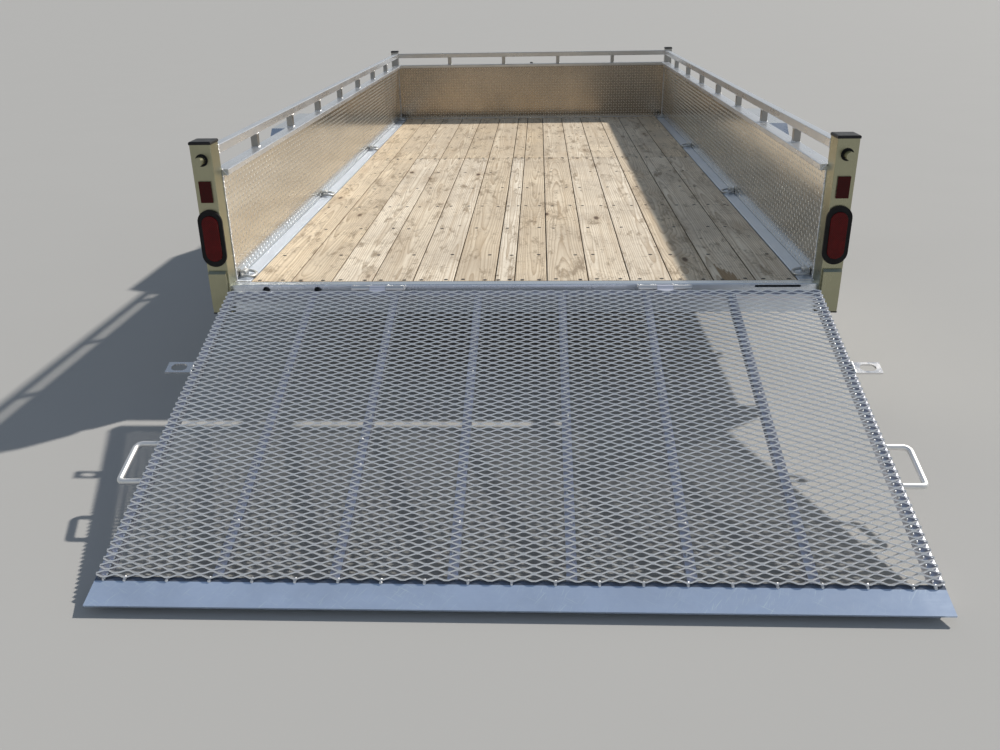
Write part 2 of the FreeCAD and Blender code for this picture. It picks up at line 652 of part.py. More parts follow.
def fender_line(offset):
    """The fender's bent outline seen from the side, moved inward by an offset."""
    # Half outline: distance from the axle, and height
    half = [(FENDER_FLAT_HALF, FENDER_TOP)]
    half.append((half[-1][0] + FENDER_SLOPE_RUN, half[-1][1] - FENDER_SLOPE_DROP))
    half.append((half[-1][0] + FENDER_TAIL_RUN, half[-1][1] - FENDER_TAIL_DROP))
    inner = []
    for index, (y, z) in enumerate(half):
        previous = half[index - 1] if index else (0, FENDER_TOP)
        following = half[index + 1] if index + 1 < len(half) else None
        before = math.atan2(z - previous[1], y - previous[0])
        after = math.atan2(following[1] - z, following[0] - y) if following else before
        normal = (before + after) / 2 - math.pi / 2
        reach = offset / math.cos((after - before) / 2)
        inner.append((y + reach * math.cos(normal), z + reach * math.sin(normal)))
    right = [Vector(0, AXLE_Y + y, z) for y, z in inner]
    left = [Vector(0, AXLE_Y - y, z) for y, z in reversed(inner)]
    return left + right


def fender_strip(depth, x0, x1):
    """A bent strip that follows the fender's outline."""
    outline = fender_line(0) + list(reversed(fender_line(depth)))
    face = Part.Face(Part.makePolygon(outline + outline[:1]))
    strip = face.extrude(Vector(x1 - x0, 0, 0))
    strip.translate(Vector(x0, 0, 0))
    return strip


def fenders():
    """Bent sheet fenders that stand out from the walls, each with a skirt along its outer edge."""
    top = fender_strip(FENDER_THICKNESS, PANEL_OUTER_X, FENDER_OUTER_X)
    skirt = fender_strip(FENDER_SKIRT, FENDER_OUTER_X - FENDER_THICKNESS, FENDER_OUTER_X)
    add_pair("fender", fused([top, skirt]))


def spun(points, arcs):
    """A solid of revolution about X. Each point is (x, radius); arcs name the middle point of a bend."""
    edges = []
    count = len(points)
    for index, (x, r) in enumerate(points):
        following = points[(index + 1) % count]
        start = Vector(x, 0, r)
        end = Vector(following[0], 0, following[1])
        if index in arcs:
            middle = Vector(arcs[index][0], 0, arcs[index][1])
            edges.append(Part.Arc(start, middle, end).toShape())
        else:
            edges.append(Part.LineSegment(start, end).toShape())
    face = Part.Face(Part.Wire(edges))
    return face.revolve(ORIGIN, X_AXIS, 360)


def placed_wheel(name, shape):
    """Move a wheel piece from the origin to both wheels, outer side outward."""
    shape.translate(Vector(WHEEL_CENTRE_X, AXLE_Y, TYRE_RADIUS))
    add_pair(name, shape)


def tyre():
    """A trailer tyre with rounded shoulders."""
    half = TYRE_WIDTH / 2
    bead = RIM_WIDTH / 2 - RUNNING_CLEARANCE
    seat = RIM_RADIUS + RUNNING_CLEARANCE
    bead_top = seat + BEAD_HEIGHT
    shoulder_x, tread_x = TYRE_SHOULDER_HALF, TYRE_TREAD_HALF
    shoulder_r = TYRE_RADIUS - TYRE_SHOULDER_DROP
    tread_r = TYRE_RADIUS - TYRE_TREAD_DROP
    points = [(-bead, seat), (bead, seat), (bead, bead_top), (shoulder_x, shoulder_r),
              (tread_x, tread_r), (-tread_x, tread_r), (-shoulder_x, shoulder_r), (-bead, bead_top)]
    middle_r = (bead_top + shoulder_r) / 2
    corner = ((shoulder_x + tread_x) / 2 + TYRE_CORNER_BULGE,
              (shoulder_r + tread_r) / 2 + TYRE_CORNER_BULGE)
    arcs = {2: (half, middle_r), 3: corner, 4: (0, TYRE_RADIUS),
            5: (-corner[0], corner[1]), 6: (-half, middle_r)}
    placed_wheel("tyre", spun(points, arcs))


def wheel_rim():
    """A pressed rim with a drop centre and a disc with round hand holes."""
    half = RIM_WIDTH / 2
    lip = half + RIM_WALL
    flange = RIM_RADIUS + RIM_FLANGE
    drop = RIM_RADIUS - RIM_DROP
    well, ledge = RIM_WELL_HALF, RIM_LEDGE_HALF
    inside = RIM_RADIUS - RIM_WALL
    points = [(-lip, flange), (-half, flange), (-half, RIM_RADIUS), (-ledge, RIM_RADIUS),
              (-well, drop), (well, drop), (ledge, RIM_RADIUS), (half, RIM_RADIUS), (half, flange),
              (lip, flange), (lip, inside), (ledge, inside), (well, drop - RIM_WALL),
              (-well, drop - RIM_WALL), (-ledge, inside), (-lip, inside)]
    barrel = spun(points, {})
    face_x = RIM_DISC_OFFSET
    disc = rod(drop - RIM_WALL / 2, Vector(face_x, 0, 0), Vector(face_x + RIM_DISC_THICKNESS, 0, 0))
    cuts = [rod(HUB_CAP_RADIUS + HUB_CAP_PLAY, Vector(0, 0, 0), Vector(lip, 0, 0))]
    for index in range(HAND_HOLES):
        angle = 2 * math.pi * index / HAND_HOLES
        y = HAND_HOLE_CIRCLE * math.cos(angle)
        z = HAND_HOLE_CIRCLE * math.sin(angle)
        cuts.append(rod(HAND_HOLE_RADIUS, Vector(0, y, z), Vector(lip, y, z)))
    disc = disc.cut(Part.makeCompound(cuts))
    placed_wheel("wheel_rim", fused([barrel, disc]))


def wheel_hub():
    """The hub that carries the wheel, bored for the axle's shaft and closed by a cap."""
    flange_x = RIM_DISC_OFFSET - HUB_FLANGE_THICKNESS
    inner = RIM_DISC_OFFSET - HUB_LENGTH
    barrel = rod(HUB_RADIUS, Vector(inner, 0, 0), Vector(flange_x, 0, 0))
    flange = rod(HUB_FLANGE_RADIUS, Vector(flange_x, 0, 0), Vector(RIM_DISC_OFFSET, 0, 0))
    cap = rod(HUB_CAP_RADIUS, Vector(flange_x, 0, 0), Vector(RIM_DISC_OFFSET + HUB_CAP_LENGTH, 0, 0))
    rim = [edge for edge in cap.Edges if edge.BoundBox.XMin > RIM_DISC_OFFSET + HUB_CAP_LENGTH - OVERRUN]
    cap = cap.makeFillet(HUB_CAP_FILLET, rim)
    bore = rod(SPINDLE_SHAFT_RADIUS + RUNNING_CLEARANCE, Vector(inner, 0, 0), Vector(RIM_DISC_OFFSET, 0, 0))
    placed_wheel("wheel_hub", fused([barrel, flange, cap]).cut(bore))


def axle_beam():
    """The square tube across the trailer, with the seats that bolt it under the side rails."""
    half = AXLE_BEAM_SIZE / 2
    beam = tube(-AXLE_BEAM_HALF, AXLE_BEAM_HALF, AXLE_BEAM_Y - half, AXLE_BEAM_Y + half,
                AXLE_BEAM_TOP - AXLE_BEAM_SIZE, AXLE_BEAM_TOP, "x")
    seat = box(FLOOR_HALF_WIDTH, POST_INNER_X, AXLE_BEAM_Y - AXLE_SEAT_LENGTH / 2,
               AXLE_BEAM_Y + AXLE_SEAT_LENGTH / 2, AXLE_BEAM_TOP, FRAME_BOTTOM)
    add("axle_beam", fused([beam] + both_sides(seat)))


def torsion_arms():
    """Arms from the beam's ends back up to the wheels, each with the shaft that its hub turns on."""
    x0 = AXLE_BEAM_HALF
    x1 = x0 + ARM_THICKNESS
    beam = Vector(x0, AXLE_BEAM_Y, AXLE_BEAM_Z)
    wheel = Vector(x0, AXLE_Y, TYRE_RADIUS)
    along = (wheel - beam).normalize()
    across = Vector(0, -along.z, along.y)
    web = Part.makePolygon([beam + across * ARM_BEAM_RADIUS, wheel + across * ARM_HUB_RADIUS,
                            wheel - across * ARM_HUB_RADIUS, beam - across * ARM_BEAM_RADIUS,
                            beam + across * ARM_BEAM_RADIUS])
    thick = Vector(ARM_THICKNESS, 0, 0)
    shaft_end = WHEEL_CENTRE_X + RIM_DISC_OFFSET - 2 * RUNNING_CLEARANCE
    arm = fused([Part.Face(web).extrude(thick), rod(ARM_BEAM_RADIUS, beam, beam + thick),
                 rod(ARM_HUB_RADIUS, wheel, wheel + thick),
                 rod(SPINDLE_SHAFT_RADIUS, Vector(x1 - OVERRUN, AXLE_Y, TYRE_RADIUS),
                     Vector(shaft_end, AXLE_Y, TYRE_RADIUS))])
    add("torsion_arms", both_sides(arm))


def tongue_rails():
    """Two tubes under the floor frame that meet at the coupler."""
    angle = math.radians(TONGUE_HALF_ANGLE)
    tip_y = COUPLER_Y - TONGUE_TIP_SETBACK
    tip_x = TONGUE_TIP_GAP / 2 + TONGUE_RAIL_WIDTH / 2 / math.cos(angle)
    outer_x = FLOOR_HALF_WIDTH
    length = (outer_x - tip_x) / math.sin(angle)
    half = TONGUE_RAIL_WIDTH / 2
    rail = tube(-half, half, -length, 0, TONGUE_TOP - TONGUE_RAIL_DEPTH, TONGUE_TOP, "y")
    rail.rotate(ORIGIN, Z_AXIS, TONGUE_HALF_ANGLE)
    rail.translate(Vector(tip_x, tip_y, 0))
    add_pair("tongue_rail", rail)


def coupler():
    """A pressed coupler on the rails' tips, with a ball socket that opens downward."""
    angle = math.radians(TONGUE_HALF_ANGLE)
    front_y = COUPLER_Y - COUPLER_NOSE_RADIUS / 2
    rear_y = front_y - COUPLER_FLANGE_LENGTH
    narrow = COUPLER_SPINE_WIDTH / 2
    wide = narrow + COUPLER_FLANGE_LENGTH * math.tan(angle)
    z0, z1 = TONGUE_TOP, TONGUE_TOP + COUPLER_FLANGE_THICKNESS
    flange = Part.Face(Part.makePolygon([
        Vector(-wide, rear_y, z0), Vector(wide, rear_y, z0), Vector(narrow, front_y, z0),
        Vector(-narrow, front_y, z0), Vector(-wide, rear_y, z0)]))
    flange = flange.extrude(Vector(0, 0, COUPLER_FLANGE_THICKNESS))
    top = z1 + COUPLER_SPINE_HEIGHT
    spine = box(-narrow, narrow, rear_y + COUPLER_SPINE_WIDTH, COUPLER_Y, z0, top)
    back = [edge for edge in spine.Edges
            if edge.BoundBox.ZMin > top - OVERRUN
            and edge.BoundBox.YMax < rear_y + COUPLER_SPINE_WIDTH + OVERRUN]
    spine = spine.makeChamfer(COUPLER_SPINE_HEIGHT - COUPLER_FLANGE_THICKNESS, back)
    nose = rod(COUPLER_NOSE_RADIUS, Vector(0, COUPLER_Y, z0 - COUPLER_NOSE_DROP), Vector(0, COUPLER_Y, top))
    rim = [edge for edge in nose.Edges if edge.BoundBox.ZMin > top - OVERRUN]
    nose = nose.makeFillet(COUPLER_NOSE_FILLET, rim)
    socket_radius = BALL_RADIUS + BALL_CLEARANCE
    ball = Part.makeSphere(socket_radius, Vector(0, COUPLER_Y, BALL_Z))
    mouth = rod(socket_radius, Vector(0, COUPLER_Y, z0 - COUPLER_NOSE_DROP), Vector(0, COUPLER_Y, BALL_Z))
    add("coupler", fused([flange, spine, nose]).cut(fused([ball, mouth])))
    y1 = COUPLER_Y - COUPLER_NOSE_RADIUS / 2
    y0 = y1 - LATCH_LENGTH
    half = LATCH_WIDTH / 2
    lever = box(-half, half, y0, y1, top, top + LATCH_HEIGHT)
    grip = box(-half, half, y0, y0 + LATCH_HEIGHT, top, top + LATCH_GRIP)
    add("coupler_latch", fused([lever, grip]))


def jack():
    """An upright screw jack on the tongue: plate, tube, crank and the leg that it stands on."""
    z0 = TONGUE_TOP
    plate_top = z0 + JACK_PLATE_THICKNESS
    angle = math.radians(TONGUE_HALF_ANGLE)
    tip_y = COUPLER_Y - TONGUE_TIP_SETBACK
    tip_x = TONGUE_TIP_GAP / 2 + TONGUE_RAIL_WIDTH / math.cos(angle)
    y0, y1 = JACK_Y - JACK_PLATE_HALF_LENGTH, JACK_Y + JACK_PLATE_HALF_LENGTH
    half_0 = tip_x + (tip_y - y0) * math.tan(angle)
    half_1 = tip_x + (tip_y - y1) * math.tan(angle)
    plate = Part.Face(Part.makePolygon([
        Vector(-half_0, y0, z0), Vector(half_0, y0, z0), Vector(half_1, y1, z0),
        Vector(-half_1, y1, z0), Vector(-half_0, y0, z0)]))
    plate = plate.extrude(Vector(0, 0, JACK_PLATE_THICKNESS))
    tube_bottom = z0 - JACK_TUBE_BELOW
    tube_top = plate_top + JACK_TUBE_ABOVE
    place = Vector(0, JACK_Y, 0)
    outer = rod(JACK_TUBE_RADIUS, place + Z_AXIS * tube_bottom, place + Z_AXIS * tube_top)
    bore = rod(JACK_TUBE_RADIUS - JACK_TUBE_WALL, place + Z_AXIS * tube_bottom, place + Z_AXIS * tube_top)
    add("jack_plate", plate.cut(outer))
    head_top = tube_top + JACK_HEAD_HEIGHT
    head = rod(JACK_HEAD_RADIUS, place + Z_AXIS * tube_top, place + Z_AXIS * head_top)
    add("jack_tube", fused([outer.cut(bore), head]))
    jack_crank(head_top)
    leg_radius = JACK_TUBE_RADIUS - JACK_TUBE_WALL - JACK_GAP
    leg_top = tube_bottom + JACK_LEG_OVERLAP - JACK_FOOT_THICKNESS
    leg = rod(leg_radius, place, place + Z_AXIS * leg_top)
    hollow = rod(leg_radius - JACK_LEG_WALL, place + Z_AXIS * JACK_FOOT_THICKNESS, place + Z_AXIS * leg_top)
    half = JACK_FOOT_SIZE / 2
    foot = box(-half, half, JACK_Y - half, JACK_Y + half, 0, JACK_FOOT_THICKNESS)
    add("jack_leg", fused([leg, foot]).cut(hollow))


def jack_crank(head_top):
    """The crank on top of the jack, with an upright knob."""
    arm_z = head_top + CRANK_SHAFT_RISE
    shaft = rod(CRANK_SHAFT_RADIUS, Vector(0, JACK_Y, head_top), Vector(0, JACK_Y, arm_z))
    half = CRANK_ARM_WIDTH / 2
    arm = box(-half, half, JACK_Y - CRANK_ARM_LENGTH, JACK_Y + half, arm_z, arm_z + CRANK_ARM_THICKNESS)
    knob_y = JACK_Y - CRANK_ARM_LENGTH + half
    knob_z = arm_z + CRANK_ARM_THICKNESS
    knob = rod(CRANK_KNOB_RADIUS, Vector(0, knob_y, knob_z), Vector(0, knob_y, knob_z + CRANK_KNOB_HEIGHT))
    ends = [edge for edge in knob.Edges if edge.BoundBox.ZMin > knob_z + CRANK_KNOB_HEIGHT - OVERRUN]
    knob = knob.makeFillet(CRANK_KNOB_FILLET, ends)
    add("jack_crank", fused([shaft, arm, knob]))


def lowered(shape):
    """Turn a ramp piece from flat to the slope it rests at, and hang it on the hinge."""
    shape.rotate(ORIGIN, X_AXIS, RAMP_SLOPE)
    shape.translate(Vector(0, PIVOT_Y, PIVOT_Z))
    return shape


def ramp_bar_places():
    """Middles of the ramp's lengthwise bars, which share its width into equal bays."""
    inside = RAMP_HALF_WIDTH - RAMP_TUBE / 2
    return evenly(-inside, inside, RAMP_BAYS + 1)


def ramp_frame():
    """Welded tubes under the mesh, with the middle knuckles of the hinges."""
    z0, z1 = RAMP_BOTTOM, RAMP_FRAME_TOP
    end = RAMP_LENGTH - PLATE_WIDTH
    half = RAMP_TUBE / 2
    bars = [box(-RAMP_HALF_WIDTH, RAMP_HALF_WIDTH, -RAMP_START - RAMP_TUBE, -RAMP_START, z0, z1)]
    for x in ramp_bar_places():
        bars.append(box(x - half, x + half, -end, -RAMP_START, z0, z1))
    middle_half = KNUCKLE_GAP / 2 - KNUCKLE_PLAY
    bores = []
    for centre in (-HINGE_CENTRE_X, HINGE_CENTRE_X):
        x0, x1 = centre - middle_half, centre + middle_half
        leaf = HINGE_LEAF_THICKNESS / 2
        bars.append(rod(KNUCKLE_RADIUS, Vector(x0, 0, 0), Vector(x1, 0, 0)))
        bars.append(box(x0, x1, -RAMP_START - OVERRUN, 0, -leaf, leaf))
        bores.append(rod(HINGE_PIN_RADIUS + RUNNING_CLEARANCE, Vector(x0 - OVERRUN, 0, 0),
                         Vector(x1 + OVERRUN, 0, 0)))
    frame = fused(bars).cut(Part.makeCompound(bores))
    add("ramp_frame", lowered(frame))


def ramp_mesh():
    """Expanded metal as a lattice of open diamonds, long across the ramp."""
    start, end = RAMP_START, RAMP_LENGTH - PLATE_WIDTH + MESH_LAP
    outer = Part.makePolygon([
        Vector(-RAMP_HALF_WIDTH, -start, 0), Vector(-RAMP_HALF_WIDTH, -end, 0),
        Vector(RAMP_HALF_WIDTH, -end, 0), Vector(RAMP_HALF_WIDTH, -start, 0),
        Vector(-RAMP_HALF_WIDTH, -start, 0)])
    cell_x = 2 * (RAMP_HALF_WIDTH - MESH_BORDER) / MESH_COLUMNS
    cell_y = (end - start - 2 * MESH_BORDER) / MESH_ROWS
    half_x = cell_x / 2 - MESH_STRAND
    half_y = cell_y / 2 - MESH_STRAND * cell_y / cell_x
    wires = [outer]
    for row in range(2 * MESH_ROWS - 1):
        shifted = row % 2
        for column in range(MESH_COLUMNS - shifted):
            x = -RAMP_HALF_WIDTH + MESH_BORDER + cell_x * (column + 0.5 + shifted / 2)
            y = -start - MESH_BORDER - cell_y * (row + 1) / 2
            wires.append(Part.makePolygon([
                Vector(x - half_x, y, 0), Vector(x, y - half_y, 0), Vector(x + half_x, y, 0),
                Vector(x, y + half_y, 0), Vector(x - half_x, y, 0)]))
    face = Part.makeFace(wires, "Part::FaceMakerBullseye")
    lattice = face.extrude(Vector(0, 0, MESH_THICKNESS))
    lattice.translate(Vector(0, 0, RAMP_FRAME_TOP))
    add("ramp_mesh", lowered(lattice))


def ramp_plate():
    """The plate at the ramp's tip, folded down where the bars end and again as a foot on the ground."""
    top = RAMP_FRAME_TOP
    rear = RAMP_LENGTH - PLATE_WIDTH
    half, thick = RAMP_HALF_WIDTH, PLATE_THICKNESS
    sheet = box(-half, half, -RAMP_LENGTH, -rear, top - thick, top)
    fold = box(-half, half, -rear - thick, -rear, RAMP_BOTTOM, top)
    foot = box(-half, half, -RAMP_FOOT, -RAMP_FOOT + thick, -FOOT_DEPTH, top)
    add("ramp_plate", lowered(fused([sheet, fold, foot])))


def ramp_handles():
    """Bent rod handles on both edges of the ramp, with a tighter bend at the lower corner."""
    z = (RAMP_BOTTOM + RAMP_FRAME_TOP) / 2
    x0, x1 = RAMP_HALF_WIDTH, RAMP_HALF_WIDTH + HANDLE_REACH - HANDLE_ROD_RADIUS
    y0 = -HANDLE_START - HANDLE_ROD_RADIUS
    y1 = y0 - HANDLE_LENGTH + 2 * HANDLE_ROD_RADIUS
    upper, lower = HANDLE_UPPER_BEND, HANDLE_LOWER_BEND
    short = 1 - math.sqrt(0.5)
    path = Part.Wire([
        Part.makeLine(Vector(x0, y0, z), Vector(x1 - upper, y0, z)),
        Part.Arc(Vector(x1 - upper, y0, z), Vector(x1 - upper * short, y0 - upper * short, z),
                 Vector(x1, y0 - upper, z)).toShape(),
        Part.makeLine(Vector(x1, y0 - upper, z), Vector(x1, y1 + lower, z)),
        Part.Arc(Vector(x1, y1 + lower, z), Vector(x1 - lower * short, y1 + lower * short, z),
                 Vector(x1 - lower, y1, z)).toShape(),
        Part.makeLine(Vector(x1 - lower, y1, z), Vector(x0, y1, z))])
    circle = Part.Wire(Part.makeCircle(HANDLE_ROD_RADIUS, Vector(x0, y0, z), X_AXIS))
    handle = path.makePipeShell([circle], True, True)
    add("ramp_handles", [lowered(side) for side in both_sides(handle)])


def ramp_brackets():
    """Slotted plates on the ramp's edges that drop over the post pins when the gate stands up."""
    reach = PIN_HEIGHT + PIVOT_BELOW_DECK
    top = RAMP_FRAME_TOP
    x0, x1 = RAMP_HALF_WIDTH, POST_INNER_X + REAR_POST_WIDTH + BRACKET_OVERHANG
    half = BRACKET_LENGTH / 2
    plate = box(x0, x1, -reach - half, -reach + half, top - BRACKET_THICKNESS, top)
    round_r = PIN_RADIUS + BRACKET_PLAY
    straight = BRACKET_SLOT_LENGTH / 2 - round_r
    slot_x = POST_CENTRE_X
    z0, z1 = top - BRACKET_THICKNESS - OVERRUN, top + OVERRUN
    slot = [box(slot_x - straight, slot_x + straight, -reach - round_r, -reach + round_r, z0, z1)]
    for x in (slot_x - straight, slot_x + straight):
        slot.append(rod(round_r, Vector(x, -reach, z0), Vector(x, -reach, z1)))
    plate = plate.cut(fused(slot))
    add("ramp_brackets", [lowered(side) for side in both_sides(plate)])


def gate_hinges():
    """Outer knuckles on the rear sill, each pair with its pin."""
    leaf = HINGE_LEAF_THICKNESS
    pieces = []
    for centre in (-HINGE_CENTRE_X, HINGE_CENTRE_X):
        reach = KNUCKLE_GAP / 2 + KNUCKLE_LENGTH
        parts = [rod(HINGE_PIN_RADIUS, Vector(centre - reach, PIVOT_Y, PIVOT_Z),
                     Vector(centre + reach, PIVOT_Y, PIVOT_Z))]
        for x0 in (centre - reach, centre + KNUCKLE_GAP / 2):
            x1 = x0 + KNUCKLE_LENGTH
            parts.append(rod(KNUCKLE_RADIUS, Vector(x0, PIVOT_Y, PIVOT_Z), Vector(x1, PIVOT_Y, PIVOT_Z)))
            parts.append(box(x0, x1, PIVOT_Y, REAR_SILL_SETBACK,
                             PIVOT_Z - KNUCKLE_RADIUS, PIVOT_Z - KNUCKLE_RADIUS + leaf))
        pieces.append(fused(parts))
    add("gate_hinges", pieces)


BUILDERS = (side_rails, rear_sill, front_sill, crossmembers, deck_boards, wall_panels, mid_rails,
            top_rails, spindles, wall_stakes, rear_posts, front_posts, post_caps, bumper_blocks,
            tail_lamps, latch_pins, tie_downs, fenders, tyre, wheel_rim, wheel_hub, axle_beam,
            torsion_arms, tongue_rails, coupler, jack, ramp_frame, ramp_mesh, ramp_plate,
            ramp_handles, ramp_brackets, gate_hinges)

os.makedirs("parts", exist_ok=True)
for builder in BUILDERS:
    builder()
for node, shape in nodes.items():
    shape.translate(Vector(0, -LENGTH_MIDDLE, 0))
    shape.exportStep("parts/" + node + ".step")
    limits = shape.BoundBox
    print(node, len(shape.Solids), shape.isValid(), round(shape.Volume / 1e6, 3),
          [round(value) for value in (limits.XMin, limits.YMin, limits.ZMin,
                                      limits.XMax, limits.YMax, limits.ZMax)])
print("ramp slope", round(RAMP_SLOPE, 3), "length middle", round(LENGTH_MIDDLE, 2))
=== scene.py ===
# %% [markdown]
# # A utility trailer, parked on its jack with the ramp down
# The real trailer is an aluminium frame with a plank deck. Walls of tread plate stand
# on the deck's sides and front, a rail runs above them on short spindles, and a ramp
# of expanded mesh hangs from the rear sill.
# The frame model carries every rigid shape in its place. Here most of those shapes
# stay as they are and only get their finish. Planks, mesh, tyres and the lugs of the
# tread plate are made again with finer shapes, because they carry the look.

# %% Opening the frame
import math
import random

import bpy
from mathutils import Matrix, Vector


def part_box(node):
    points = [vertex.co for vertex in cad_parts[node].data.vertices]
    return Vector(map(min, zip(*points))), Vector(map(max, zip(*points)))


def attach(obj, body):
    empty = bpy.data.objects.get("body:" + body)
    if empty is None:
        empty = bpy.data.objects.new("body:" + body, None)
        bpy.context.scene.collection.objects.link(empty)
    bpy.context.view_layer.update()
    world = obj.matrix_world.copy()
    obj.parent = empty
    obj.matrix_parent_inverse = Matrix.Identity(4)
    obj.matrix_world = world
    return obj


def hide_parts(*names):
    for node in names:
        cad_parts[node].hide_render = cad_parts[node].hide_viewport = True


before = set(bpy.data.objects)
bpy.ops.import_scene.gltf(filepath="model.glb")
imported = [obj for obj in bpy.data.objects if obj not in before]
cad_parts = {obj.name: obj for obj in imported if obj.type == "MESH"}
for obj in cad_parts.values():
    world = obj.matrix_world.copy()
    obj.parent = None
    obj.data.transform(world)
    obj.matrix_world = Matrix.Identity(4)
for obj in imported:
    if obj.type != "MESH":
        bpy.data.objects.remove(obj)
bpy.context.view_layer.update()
MM = 0.001
POSTS_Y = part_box("rear_post_right")[0][1]


def ahead_of_posts(distance):
    """A place along the trailer in metres, so many millimetres ahead of the rear posts' rear face."""
    return POSTS_Y + distance * MM


# %% [markdown]
# ## Small helpers for building node trees
# A node tree can be drawn by hand in the editor. In a script the same tree is a list
# of nodes with their inputs, so a few helpers are enough: one sets a socket or links
# it, and one adds a node with all its inputs at once. A wire stands for a node's
# output. It adds and multiplies like a number, so a formula reads as it is meant.

# %% Helpers for nodes
class Wire:
    """A node's output, which adds Math nodes to its tree when it is added or multiplied."""

    def __init__(self, socket):
        self.socket = socket
        self.tree = socket.id_data

    def __add__(self, other):
        return maths("ADD", self, other)

    def __sub__(self, other):
        return maths("SUBTRACT", self, other)

    def __rsub__(self, other):
        return maths("SUBTRACT", other, self)

    def __mul__(self, other):
        return maths("MULTIPLY", self, other)

    def __truediv__(self, other):
        return maths("DIVIDE", self, other)

    def __rtruediv__(self, other):
        return maths("DIVIDE", other, self)

    def __pow__(self, other):
        return maths("POWER", self, other)


def feed(socket, value):
    """Set a socket to a value, or link it to a wire, an output or a node's first output."""
    if isinstance(value, Wire):
        value = value.socket
    if isinstance(value, bpy.types.Node):
        value = value.outputs[0]
    if isinstance(value, bpy.types.NodeSocket):
        socket.id_data.links.new(value, socket)
    else:
        socket.default_value = value


def put(tree, kind, inputs=None, **settings):
    """Add a node, choose its settings, then fill its inputs."""
    node = tree.nodes.new(kind)
    for name, value in settings.items():
        setattr(node, name, value)
    for key, value in (inputs or {}).items():
        feed(node.inputs[key], value)
    return node


def tree_of(values):
    """The tree that the wires among some values belong to."""
    return next(value.tree for value in values if isinstance(value, Wire))


def maths(operation, *values):
    """The result of one Math node."""
    node = put(tree_of(values), "ShaderNodeMath", dict(enumerate(values)), operation=operation)
    return Wire(node.outputs[0])


def stretched(place, factors):
    """A place multiplied by a factor along each axis."""
    node = put(place.tree, "ShaderNodeVectorMath", {0: place, 1: factors}, operation="MULTIPLY")
    return Wire(node.outputs[0])


def vector(x=0.0, y=0.0, z=0.0):
    """Three numbers or wires as one vector."""
    values = (x, y, z)
    return Wire(put(tree_of(values), "ShaderNodeCombineXYZ", dict(enumerate(values))).outputs[0])


def axes(place):
    """The three numbers of a place."""
    return [Wire(output) for output in put(place.tree, "ShaderNodeSeparateXYZ", {0: place}).outputs]


def ramped(value, low, high, to_low=0.0, to_high=1.0):
    """Stretch the range low..high of a value to to_low..to_high, and clamp it."""
    return Wire(put(value.tree, "ShaderNodeMapRange", {
        "Value": value, "From Min": low, "From Max": high, "To Min": to_low, "To Max": to_high}).outputs[0])


def noise(place, scale, detail=2.0, rough=0.5, distort=0.0):
    """Soft noise around one half, with so many cells in a metre."""
    return Wire(put(place.tree, "ShaderNodeTexNoise", {
        "Vector": place, "Scale": scale, "Detail": detail, "Roughness": rough,
        "Distortion": distort}).outputs["Fac"])


def long_noise(place, cells, detail=2.0, rough=0.5, distort=0.0):
    """Noise with its own number of cells in a metre along each axis."""
    return noise(stretched(place, cells), 1.0, detail, rough, distort)


def rgba(colour):
    """A colour with the full alpha that sockets ask for."""
    return (*colour, 1.0)


def times(colour, factor):
    """A colour made darker or lighter."""
    return [min(1.0, part * factor) for part in colour]


def tinted(factor, first, second):
    """Mix two colours, each a wire or three numbers, by a factor."""
    first, second = (c if isinstance(c, Wire) else rgba(c) for c in (first, second))
    node = put(factor.tree, "ShaderNodeMix", {0: factor, 6: first, 7: second}, data_type="RGBA")
    return Wire(node.outputs[2])


def fresh(name, **settings):
    """A new material with plain settings for its shader, the shader, and Object coordinates."""
    material = bpy.data.materials.new(name)
    material.use_nodes = True
    tree = material.node_tree
    shader = tree.nodes["Principled BSDF"]
    for label, value in settings.items():
        shader.inputs[label.replace("_", " ")].default_value = value
    return material, shader, Wire(put(tree, "ShaderNodeTexCoord").outputs["Object"])


def bumped(shader, height, strength, depth):
    """Raise and lower a material's surface by a height."""
    feed(shader.inputs["Normal"], put(height.tree, "ShaderNodeBump", {
        "Strength": strength, "Distance": depth, "Height": height}))


SOCKETS = {float: "NodeSocketFloat", int: "NodeSocketInt", tuple: "NodeSocketVector"}


def new_group(name, kind, inputs, outputs):
    """A node group. Its inputs have names with usual values, or with socket types where none is usual."""
    tree = bpy.data.node_groups.new(name, kind)
    for label, value in inputs.items():
        typed = isinstance(value, str)
        socket = tree.interface.new_socket(
            label, in_out="INPUT", socket_type=value if typed else SOCKETS[type(value)])
        if not typed:
            socket.default_value = value
    for label, socket_type in outputs.items():
        tree.interface.new_socket(label, in_out="OUTPUT", socket_type=socket_type)
    given = {socket.name: Wire(socket) for socket in tree.nodes.new("NodeGroupInput").outputs}
    return tree, given, tree.nodes.new("NodeGroupOutput").inputs


def placing(x_axis, y_axis, z_axis, origin):
    """The matrix that turns a shape's own directions into the given ones and moves it to its place."""
    return Matrix(((*x_axis, 0), (*y_axis, 0), (*z_axis, 0), (*origin, 1))).transposed()


def linked(name, data):
    """An object for some data, as a part of the scene."""
    thing = bpy.data.objects.new(name, data)
    bpy.context.scene.collection.objects.link(thing)
    return thing


print("helpers ready")

# %% [markdown]
# ## The camera
# The photographer stood behind the ramp at chest height and looked slightly down.
# The camera's place came from fitting the straight edges of posts, rails and ramp in
# the picture, so it is written here as plain numbers: a place and three angles.

# %% Camera
CAMERA_PLACE = Vector((0.0610, ahead_of_posts(-2923.5), 1.3208))
CAMERA_YAW, CAMERA_DOWN, CAMERA_ROLL = -2.66, 23.44, -1.0
LENS = 32.49
CAMERA_REACH = 900

